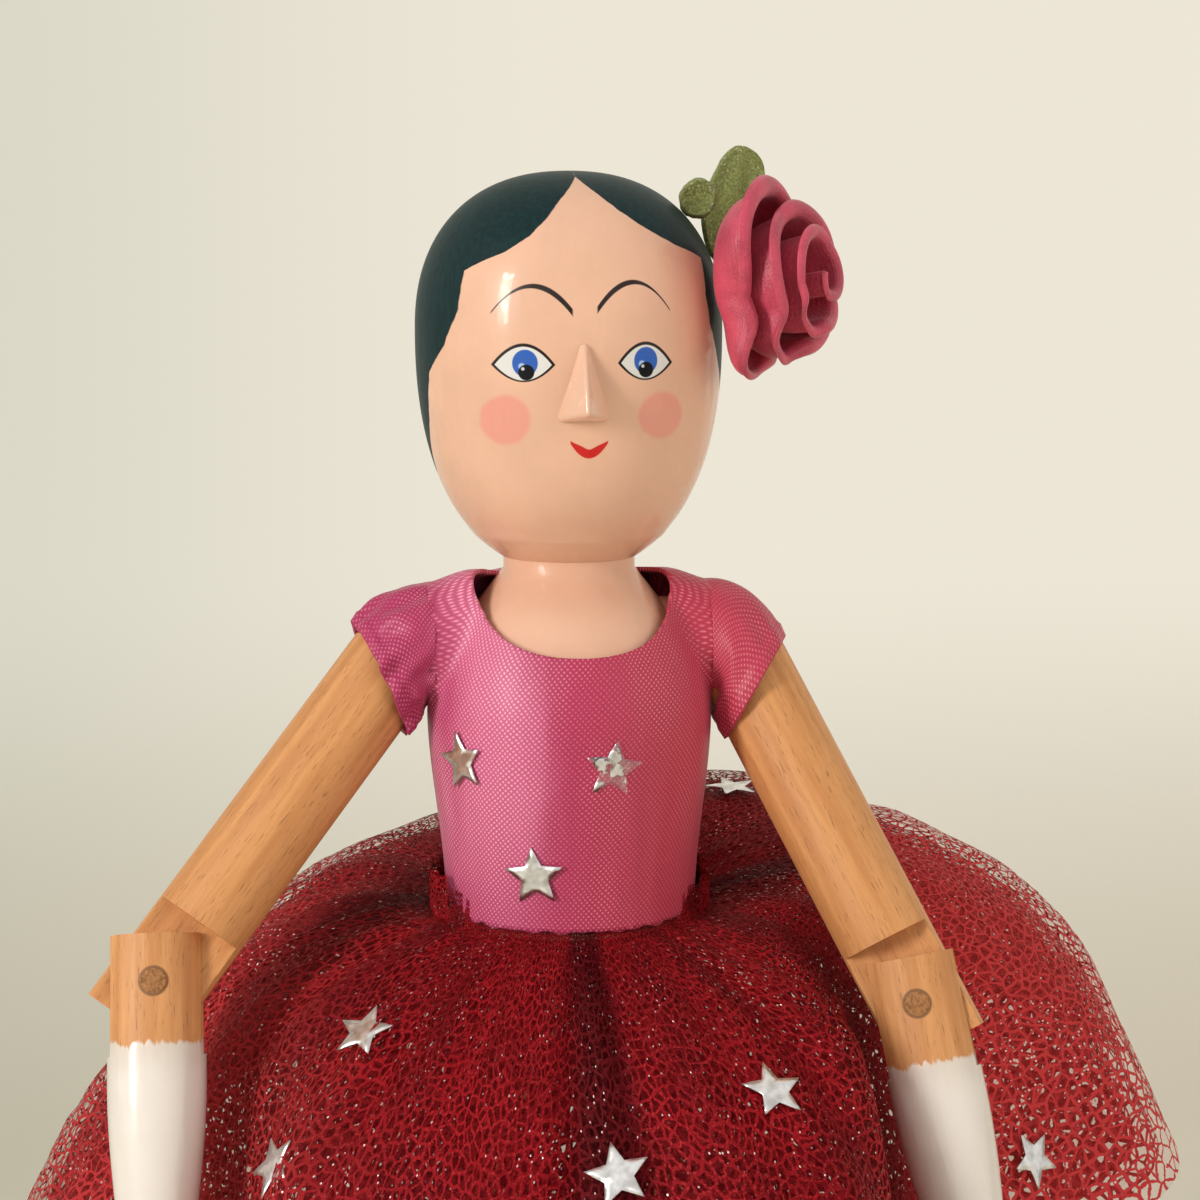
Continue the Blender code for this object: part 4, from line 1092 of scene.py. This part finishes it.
class DOLL_OT_bodice(bpy.types.Operator):
    """Wraps the satin bodice round the chest and over the shoulders"""

    bl_idname = "doll.bodice"
    bl_label = "Bodice"

    def execute(self, context):
        outset = CLOTH_GAP + SATIN
        form = temporary(lathe(body_profile(BODICE_TOP, -BODICE_HEM - 0.003, outset, 40), 96))
        carve(form, shoulder_bar(outset), "UNION")
        remesh = form.modifiers.new("even", "REMESH")
        remesh.mode = "VOXEL"
        remesh.voxel_size = 0.00062
        settle(form)
        smooth = form.modifiers.new("soft", "SMOOTH")
        smooth.factor = 0.5
        smooth.iterations = 14
        settle(form)
        form.data.materials.append(None)
        form.data.materials.append(None)
        scoop = bmesh.new()
        bmesh.ops.create_uvsphere(scoop, u_segments=96, v_segments=48, radius=1)
        bmesh.ops.scale(scoop, vec=NECKLINE, verts=scoop.verts)
        bmesh.ops.translate(scoop, vec=NECKLINE_PLACE, verts=scoop.verts)
        carve(form, scoop)
        shape = take(form)
        inner = [face for face in shape.faces if self.in_scoop(face)]
        bmesh.ops.delete(shape, geom=inner, context="FACES")
        planes = [((0, 0, WAIST_Z - BODICE_HEM), (0, 0, -1))]
        planes += [((side * ARMHOLE, 0, 0), (side, 0, 0)) for side in (1, -1)]
        for spot, facing in planes:
            whole = shape.verts[:] + shape.edges[:] + shape.faces[:]
            bmesh.ops.bisect_plane(shape, geom=whole, plane_co=spot, plane_no=facing, clear_outer=True)
        bmesh.ops.remove_doubles(shape, verts=shape.verts, dist=0.00004)
        bmesh.ops.recalc_face_normals(shape, faces=shape.faces)
        self.crease(shape)
        wrapped_flat(shape, BODICE_RADIUS, WAIST_Z)
        made = piece(shape, "bodice", satin_finish("bodice_satin"), "torso", ["bodice"], angle=70)
        thicken(made, SATIN_SHEET)
        return {"FINISHED"}

    @staticmethod
    def in_scoop(face):
        spot = face.calc_center_median() - Vector(NECKLINE_PLACE)
        return sum((a / b) ** 2 for a, b in zip(spot, NECKLINE)) < 1.003

    @staticmethod
    def crease(shape):
        """Soft upright wrinkles, and a hem that isn't quite straight."""
        moves = {}
        for vert in shape.verts:
            azimuth = math.atan2(vert.co.x, -vert.co.y)
            up = (vert.co.z - WAIST_Z) / 0.04
            soft = noise.noise((math.sin(azimuth) * 2.6, math.cos(azimuth) * 2.6, up * 0.9))
            fine = noise.noise((math.sin(azimuth) * 7 + 3, math.cos(azimuth) * 7, up * 2.2))
            amount = 0.00042 * soft + 0.00016 * fine * step(1 - abs(up - 0.1))
            moves[vert] = vert.normal * amount
            lift = step((vert.co.z - WAIST_Z - 0.036) / 0.006) * step((0.0205 - abs(vert.co.x)) / 0.008)
            moves[vert] += Vector((0.0003 * math.copysign(lift, vert.co.x), 0, 0.0019 * lift))
            if vert.is_boundary and up < 0.05:
                moves[vert] += Vector((0, 0, 0.0005 * noise.noise((azimuth * 9, 0, 5))))
        for vert, move in moves.items():
            vert.co += move


class DOLL_OT_sleeves(bpy.types.Operator):
    """Caps each shoulder with a satin sleeve round the top of the arm"""

    bl_idname = "doll.sleeves"
    bl_label = "Sleeves"

    def execute(self, context):
        material = satin_finish("sleeve_satin")
        for name, pose in ARM_POSES.items():
            side = pose["side"]
            shoulder, _ = arm_frames(pose)
            pivot = shoulder.translation
            down = (shoulder.to_3x3() @ Vector((0, 0, -1))).normalized()
            first = Vector((side * (ARMHOLE - 0.0008), 0, SHOULDER_Z))
            last = pivot + down * pose["sleeve"]
            along_x = Vector((side, 0, 0))
            facing = along_x.lerp(down, pose["cuff"])
            pucker = SLEEVE_PUCKER[name]

            def point(across, share):
                middle = first * (1 - share) ** 2 + pivot * 2 * share * (1 - share) + last * share**2
                axis = along_x.lerp(facing, step(share * 1.1)).normalized()
                front = (Vector((0, -1, 0)) - axis * Vector((0, -1, 0)).dot(axis)).normalized()
                other = axis.cross(front)
                angle = 2 * math.pi * across
                radius = SLEEVE_RADIUS + 0.0005 * math.sin(math.pi * share) - 0.0001 * share
                wave = math.sin(9 * angle + 2.2 * math.sin(5 * share)) + 0.6 * math.sin(14 * angle + 3)
                radius += pucker * wave * (0.25 + 0.75 * share)
                radius += 0.0004 * noise.noise((math.cos(angle) * 1.5 + side * 4, math.sin(angle) * 1.5, share * 2))
                radius += 0.0003 * step((share - 0.84) / 0.05)
                return middle + (front * math.cos(angle) + other * math.sin(angle)) * radius

            shape = sheet_grid(112, 36, point, True, SLEEVE_FLAT)
            made = piece(shape, f"sleeve_{name}", material, None, [f"sleeve_{name}"], angle=80)
            thicken(made, SATIN_SHEET)
            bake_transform(made)
        return {"FINISHED"}


class DOLL_OT_skirt(bpy.types.Operator):
    """Gathers the layers of net round the waist"""

    bl_idname = "doll.skirt"
    bl_label = "Net skirt"

    def execute(self, context):
        reaches = arm_reaches()
        columns, rows, heading = 336, 72, 8
        for name, layer in NET_LAYERS.items():
            lines = [net_column(2 * math.pi * i / columns, layer, rows) for i in range(columns)]
            seed = layer["seed"]

            def point(across, along):
                index = round(across * columns) % columns
                azimuth = 2 * math.pi * index / columns
                row = round(along * (rows + heading)) - heading
                radius, height, share = lines[index][max(row, 0)]
                ring = (math.sin(azimuth), math.cos(azimuth))
                gather = math.cos(38 * azimuth + 3 * noise.noise((ring[0] * 3, ring[1] * 3, seed)))
                pinch = 1 - step(share / 0.06)
                radius += 0.0007 * pinch
                if row < 0:
                    above = -row / heading
                    side = step((math.acos(ring[1]) - 0.75) / 0.6)
                    tall = 0.0022 + 0.0035 * side * (1 + 0.5 * noise.noise((ring[0] * 6, ring[1] * 6, seed)))
                    radius += (side * (0.0025 + 0.0006 * gather) - 0.0017) * min(above * 2, 1)
                    return Vector((radius * ring[0], -radius * ring[1], height + tall * above))
                radius += 0.0008 * gather * step(share / 0.04) * (1 - step((share - 0.12) / 0.5))
                crimp = math.cos(23 * azimuth + 2.5 * noise.noise((ring[0] * 2, ring[1] * 2, seed + share)))
                radius += 0.0011 * crimp * step(share / 0.2)
                rough = (azimuth * 11, share * 26, seed * 7)
                wave = noise.noise((ring[0] * 9, ring[1] * 9, share * 7 + seed))
                radius += (0.0012 * wave + 0.0005 * noise.noise(rough)) * step(share / 0.12)
                lift = 0.0010 * noise.noise((ring[0] * 6, ring[1] * 6, share * 5 + seed * 3)) * step(share / 0.15)
                radius = pressed(azimuth, radius, height, layer["inset"], reaches)
                return Vector((radius * ring[0], -radius * ring[1], height + lift))

            flat = (layer["width"], NET_LENGTH * layer["length"] + 0.004)
            shape = sheet_grid(columns, rows + heading, point, True, flat)
            nodes = [name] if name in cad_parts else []
            made = piece(shape, name, net_finish(name, layer), "torso", nodes, angle=180)
        return {"FINISHED"}


def rose_frame():
    flat = Vector((ROSE_AXIS.x, ROSE_AXIS.y, 0)).normalized()
    seat = flat * (HEAD_RADIUS + ROSE_SEAT) + Vector((0, 0, HEAD_Z + ROSE_HEIGHT)) + ROSE_SHIFT
    return Matrix.Translation(seat) @ ROSE_FACING.to_track_quat("Z", "Y").to_matrix().to_4x4()


class DOLL_OT_rose(bpy.types.Operator):
    """Winds one ribbon into a rose: tight and tall in the middle, with open, rolled and pointed petals outside"""

    bl_idname = "doll.rose"
    bl_label = "Ribbon rose"

    def execute(self, context):
        def point(across, along):
            angle = ROSE_END - 2 * math.pi * ROSE_TURNS * (1 - across)
            up, out = 1 - along, across
            lobe = abs(math.cos(1.25 * angle + 0.5)) ** 0.7
            tip = math.exp(-(((1 - math.cos(angle - ROSE_TIP)) / 0.09) ** 2))
            crown = math.exp(-(((1 - math.cos(angle - ROSE_CROWN)) / 0.25) ** 2))
            curl = 0.0004 + 0.0008 * out * (1 - 0.9 * tip)
            rim = 0.0010 + 0.0087 * out**0.62 + (0.0014 * lobe - 0.0005 + 0.0036 * tip + 0.0024 * crown * out) * out
            tall = 0.0124 - 0.0074 * out**1.5 - 0.0020 * out * (1 - lobe) - 0.0026 * tip * out
            low = 0.0005 + 0.0068 * out
            tuck = 0.3 + 0.7 * step((1 - out) / 0.05)
            rim, tall = low + (rim - low) * tuck, tall * tuck
            rise = min(up / ROSE_ROLL_FROM, 1)
            radius = low + (rim - low) * (1 - (1 - rise) ** 2.2)
            height = 0.0004 + tall * rise ** (1 + 0.35 * out)
            roll = max(up - ROSE_ROLL_FROM, 0) / (1 - ROSE_ROLL_FROM) * ROSE_ROLL
            radius += curl * (1 - math.cos(roll)) + noise.noise((angle * 1.1, up * 1.6, 3.0)) * 0.0008 * out
            height += curl * math.sin(roll)
            return Vector((radius * math.cos(angle), radius * math.sin(angle), height))

        shape = sheet_grid(300, 40, point, False, RIBBON_FLAT)
        made = piece(shape, "ribbon_rose", ribbon_finish(), "torso", ["ribbon_rose"], rose_frame(), angle=80)
        thicken(made, RIBBON_THICK, 0)
        return {"FINISHED"}


def head_surface(direction):
    direction = direction.normalized()
    flat = math.hypot(direction.x, direction.y) / HEAD_RADIUS
    tall = abs(direction.z) / (HEAD_RISE if direction.z > 0 else HEAD_DROP)
    reach = (flat**HEAD_POWER + tall**HEAD_POWER) ** (-1 / HEAD_POWER)
    return Vector((0, 0, HEAD_Z)) + direction * reach


class DOLL_OT_leaves(bpy.types.Operator):
    """Cuts the velvet leaves behind the rose"""

    bl_idname = "doll.leaves"
    bl_label = "Leaves"

    def execute(self, context):
        material = velvet_finish()
        for name, leaf in LEAVES.items():
            thin, wide, tall = leaf["size"]
            rise, back, lean = (math.radians(leaf[key]) for key in ("rise", "back", "lean"))
            out, axis = (
                Vector((math.cos(up) * math.cos(back), math.cos(up) * math.sin(back), math.sin(up)))
                for up in (rise, lean)
            )
            seat = head_surface(out) + out * LEAF_GAP + axis * tall + Vector(leaf["nudge"])
            place = Matrix.Translation(seat) @ axis.to_track_quat("Z", "Y").to_matrix().to_4x4()

            def point(across, share):
                angle = 2 * math.pi * across
                scallop = 1 + 0.025 * math.cos(5 * angle + 1) * share
                y = wide * share * math.cos(angle) * scallop
                z = tall * share * math.sin(angle) * scallop
                cup = 0.35 * thin * (1 - share**2) * 2 - 0.25 * thin
                ridge = math.exp(-(((y - 0.1 * wide) / (0.32 * wide)) ** 2)) * step(1.15 - share)
                crease = leaf["crease"] * thin * ridge
                fuzz = 0.14 * thin * noise.noise((y * 3000, z * 3000, tall * 900))
                return Vector((cup - crease + fuzz, y, z))

            shape = sheet_grid(72, 16, point, True, (1, 1))
            layer = shape.loops.layers.uv["cloth"]
            for face in shape.faces:
                for loop in face.loops:
                    y, z = loop.vert.co.y / wide, loop.vert.co.z / tall
                    loop[layer].uv = (math.hypot(y, z), 0)
            made = piece(shape, name, material, "torso", [name], place, angle=80)
            thicken(made, LEAF_THICK, 0)
        return {"FINISHED"}


class DOLL_OT_stars(bpy.types.Operator):
    """Presses the foil stars with faint ridges where the solid ones lie"""

    bl_idname = "doll.stars"
    bl_label = "Foil stars"

    def execute(self, context):
        material, worn = foil_finish("star_foil"), foil_finish("worn_foil", worn=True)
        names = sorted(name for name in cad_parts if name.startswith("star_"))
        for name in names:
            spots = np.array([list(v.co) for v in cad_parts[name].data.vertices])
            center = spots.mean(0)
            normal = np.linalg.svd(spots - center)[2][2]
            outward = np.array([center[0] - AXIS.x, center[1] - AXIS.y, 0.02])
            normal = Vector(normal if normal @ outward > 0 else -normal)
            reach = np.linalg.norm(spots - center, axis=1)
            tip = Vector(spots[int(reach.argmax())] - center)
            up = (tip - normal * tip.dot(normal)).normalized()
            turned = Matrix((up.cross(normal), up, normal)).transposed().to_4x4()
            shape = bmesh.new()
            ring = []
            for i in range(10):
                angle = math.pi / 2 + math.pi * i / 5
                radius = STAR_RADIUS * (STAR_NOTCH if i % 2 else 1)
                ring.append(shape.verts.new((radius * math.cos(angle), radius * math.sin(angle), 0)))
            face = shape.faces.new(ring)
            bmesh.ops.inset_region(shape, faces=[face], thickness=0.00028, depth=STAR_RIDGE)
            bmesh.ops.inset_region(shape, faces=[face], thickness=0.00022, depth=-STAR_RIDGE)
            bmesh.ops.triangulate(shape, faces=[face])
            bmesh.ops.subdivide_edges(shape, edges=shape.edges[:], cuts=2, use_grid_fill=True)
            for vert in shape.verts:
                vert.co.z += 0.00022 * noise.noise((vert.co.x * 260, vert.co.y * 260, center[0] * 90))
            made = piece(
                shape, name, worn if name == "star_bodice_2" else material, "torso", [name],
                Matrix.Translation(Vector(center) - AXIS) @ turned, angle=8,
            )
            thicken(made, FOIL_THICK)
        return {"FINISHED"}


class DOLL_OT_stage(bpy.types.Operator):
    """Sets up the floor, the wall, the soft lights and the camera"""

    bl_idname = "doll.stage"
    bl_label = "Stage"

    def execute(self, context):
        scene = context.scene
        look = scene.doll_view
        shape = bmesh.new()
        bmesh.ops.create_grid(shape, x_segments=2, y_segments=60, size=1)
        for vert in shape.verts:
            run = (vert.co.y + 1) / 2
            x = vert.co.x * SWEEP_HALF_WIDTH
            if run < 0.4:
                spot = (x, SWEEP_BEND_FROM - SWEEP_FLOOR * (1 - run / 0.4), 0)
            elif run < 0.7:
                angle = (run - 0.4) / 0.3 * math.pi / 2
                spot = (x, SWEEP_BEND_FROM + SWEEP_BEND * math.sin(angle), SWEEP_BEND - SWEEP_BEND * math.cos(angle))
            else:
                spot = (x, SWEEP_BEND_FROM + SWEEP_BEND, SWEEP_BEND + (run - 0.7) / 0.3 * SWEEP_WALL)
            vert.co = spot
        bmesh.ops.recalc_face_normals(shape, faces=shape.faces)
        sweep = temporary(shape, "sweep")
        sweep.data.shade_smooth()
        sweep.data.materials.append(self.wall())

        world = bpy.data.worlds.new("soft_room")
        scene.world = world
        world.use_nodes = True
        world.node_tree.nodes["Background"].inputs["Color"].default_value = (1.0, 0.985, 0.955, 1)
        start = Value(world.node_tree)
        strength = self.seen_share(start) * (SEEN_WORLD - look.ambient) + look.ambient
        start.tree.links.new(strength.socket, world.node_tree.nodes["Background"].inputs["Strength"])

        target = AXIS + Vector((0.0042, 0, WAIST_Z + 0.0403))
        self.lamp("window", target, -55, 17, 0.85, (0.12, 0.38), look.key, (1.0, 0.985, 0.96))
        self.lamp("room", target, 52, 14, 1.1, (0.9, 0.9), look.fill, (1.0, 0.95, 0.88))
        self.lamp("ceiling", target, 10, 78, 1.0, (0.8, 0.8), look.key * 0.18, (1.0, 0.97, 0.93))

        camera = bpy.data.cameras.new("camera")
        camera.sensor_width = 36
        camera.lens = 18 / math.tan(math.radians(look.field) / 2)
        camera.clip_start = 0.005
        viewer = bpy.data.objects.new("camera", camera)
        scene.collection.objects.link(viewer)
        back = self.direction(look.azimuth, look.elevation)
        viewer.location = target + back * look.distance
        viewer.rotation_euler = (-back).to_track_quat("-Z", "Y").to_euler()
        scene.camera = viewer
        scene.view_settings.view_transform = "Standard"
        return {"FINISHED"}

    @staticmethod
    def direction(azimuth, elevation):
        a, e = math.radians(azimuth), math.radians(elevation)
        return Vector((math.sin(a) * math.cos(e), -math.cos(a) * math.cos(e), math.sin(e)))

    def lamp(self, name, target, azimuth, elevation, distance, size, power, tint):
        light = bpy.data.lights.new(name, "AREA")
        light.shape = "RECTANGLE"
        light.size, light.size_y = size
        light.energy = power
        light.color = tint
        thing = bpy.data.objects.new(name, light)
        thing.visible_glossy = name == "window"
        bpy.context.scene.collection.objects.link(thing)
        back = self.direction(azimuth, elevation)
        thing.location = target + back * distance
        thing.rotation_euler = (-back).to_track_quat("-Z", "Y").to_euler()

    @staticmethod
    def seen_share(start):
        """1 for what the camera, a gloss or a clear film shows, and 0 for the light on the doll."""
        outputs = start.node("ShaderNodeLightPath").socket.node.outputs
        rays = ("Is Camera Ray", "Is Glossy Ray", "Is Transmission Ray")
        return sum(Value(start.tree, outputs[name]) for name in rays).math("MINIMUM", 1.0)

    @staticmethod
    def wall():
        material, shader, start = finish("wall", Roughness=0.9, Specular_IOR_Level=0.1)
        spot = start.node("ShaderNodeTexCoord", None, None, 3)
        x, _, z = spot.parts()
        # Painted shade: the wall is painted greyer and darker towards the left.
        tone = x.rise(-0.26, 0.10).mix((0.695, 0.675, 0.565), (0.850, 0.795, 0.675))
        tone = (spot.noise(3.0, 3) * 0.04).mix(tone, (0.70, 0.69, 0.62))
        feed(shader, Base_Color=tone)
        share = DOLL_OT_stage.seen_share(start) * z.rise(-0.01, 0.16)
        glow = start.node("ShaderNodeEmission", None, {"Color": tone, "Strength": 1.0})
        both = start.node("ShaderNodeMixShader", None, {0: share, 1: Value(start.tree, shader.outputs[0]), 2: glow})
        out = next(n for n in start.tree.nodes if n.type == "OUTPUT_MATERIAL")
        start.tree.links.new(both.socket, out.inputs["Surface"])
        return material


OPERATORS = (
    DOLL_OT_head,
    DOLL_OT_nose,
    DOLL_OT_arms,
    DOLL_OT_legs,
    DOLL_OT_bodice,
    DOLL_OT_sleeves,
    DOLL_OT_skirt,
    DOLL_OT_rose,
    DOLL_OT_leaves,
    DOLL_OT_stars,
    DOLL_OT_stage,
)
GROUPS = {"doll_paint": DollPaint, "doll_wood": DollWood, "doll_cloth": DollCloth, "doll_view": DollView}


class DOLL_PT_sidebar(bpy.types.Panel):
    """Lists the doll's pieces and their settings"""

    bl_idname = "DOLL_PT_sidebar"
    bl_label = "Wooden Doll"
    bl_space_type = "VIEW_3D"
    bl_region_type = "UI"
    bl_category = "Doll"

    def draw(self, context):
        for operator in OPERATORS:
            self.layout.operator(operator.bl_idname)
        for name, group in GROUPS.items():
            box = self.layout.box()
            for key in group.__annotations__:
                box.prop(getattr(context.scene, name), key)


def register():
    for group in GROUPS.values():
        bpy.utils.register_class(group)
    for operator in OPERATORS:
        bpy.utils.register_class(operator)
    bpy.utils.register_class(DOLL_PT_sidebar)
    for name, group in GROUPS.items():
        setattr(bpy.types.Scene, name, PointerProperty(type=group))


def unregister():
    for name in GROUPS:
        delattr(bpy.types.Scene, name)
    bpy.utils.unregister_class(DOLL_PT_sidebar)
    for operator in reversed(OPERATORS):
        bpy.utils.unregister_class(operator)
    for group in reversed(GROUPS.values()):
        bpy.utils.unregister_class(group)


def main():
    register()
    for operator in OPERATORS:
        group, name = operator.bl_idname.split(".")
        getattr(getattr(bpy.ops, group), name)()


if __name__ == "__main__":
    main()
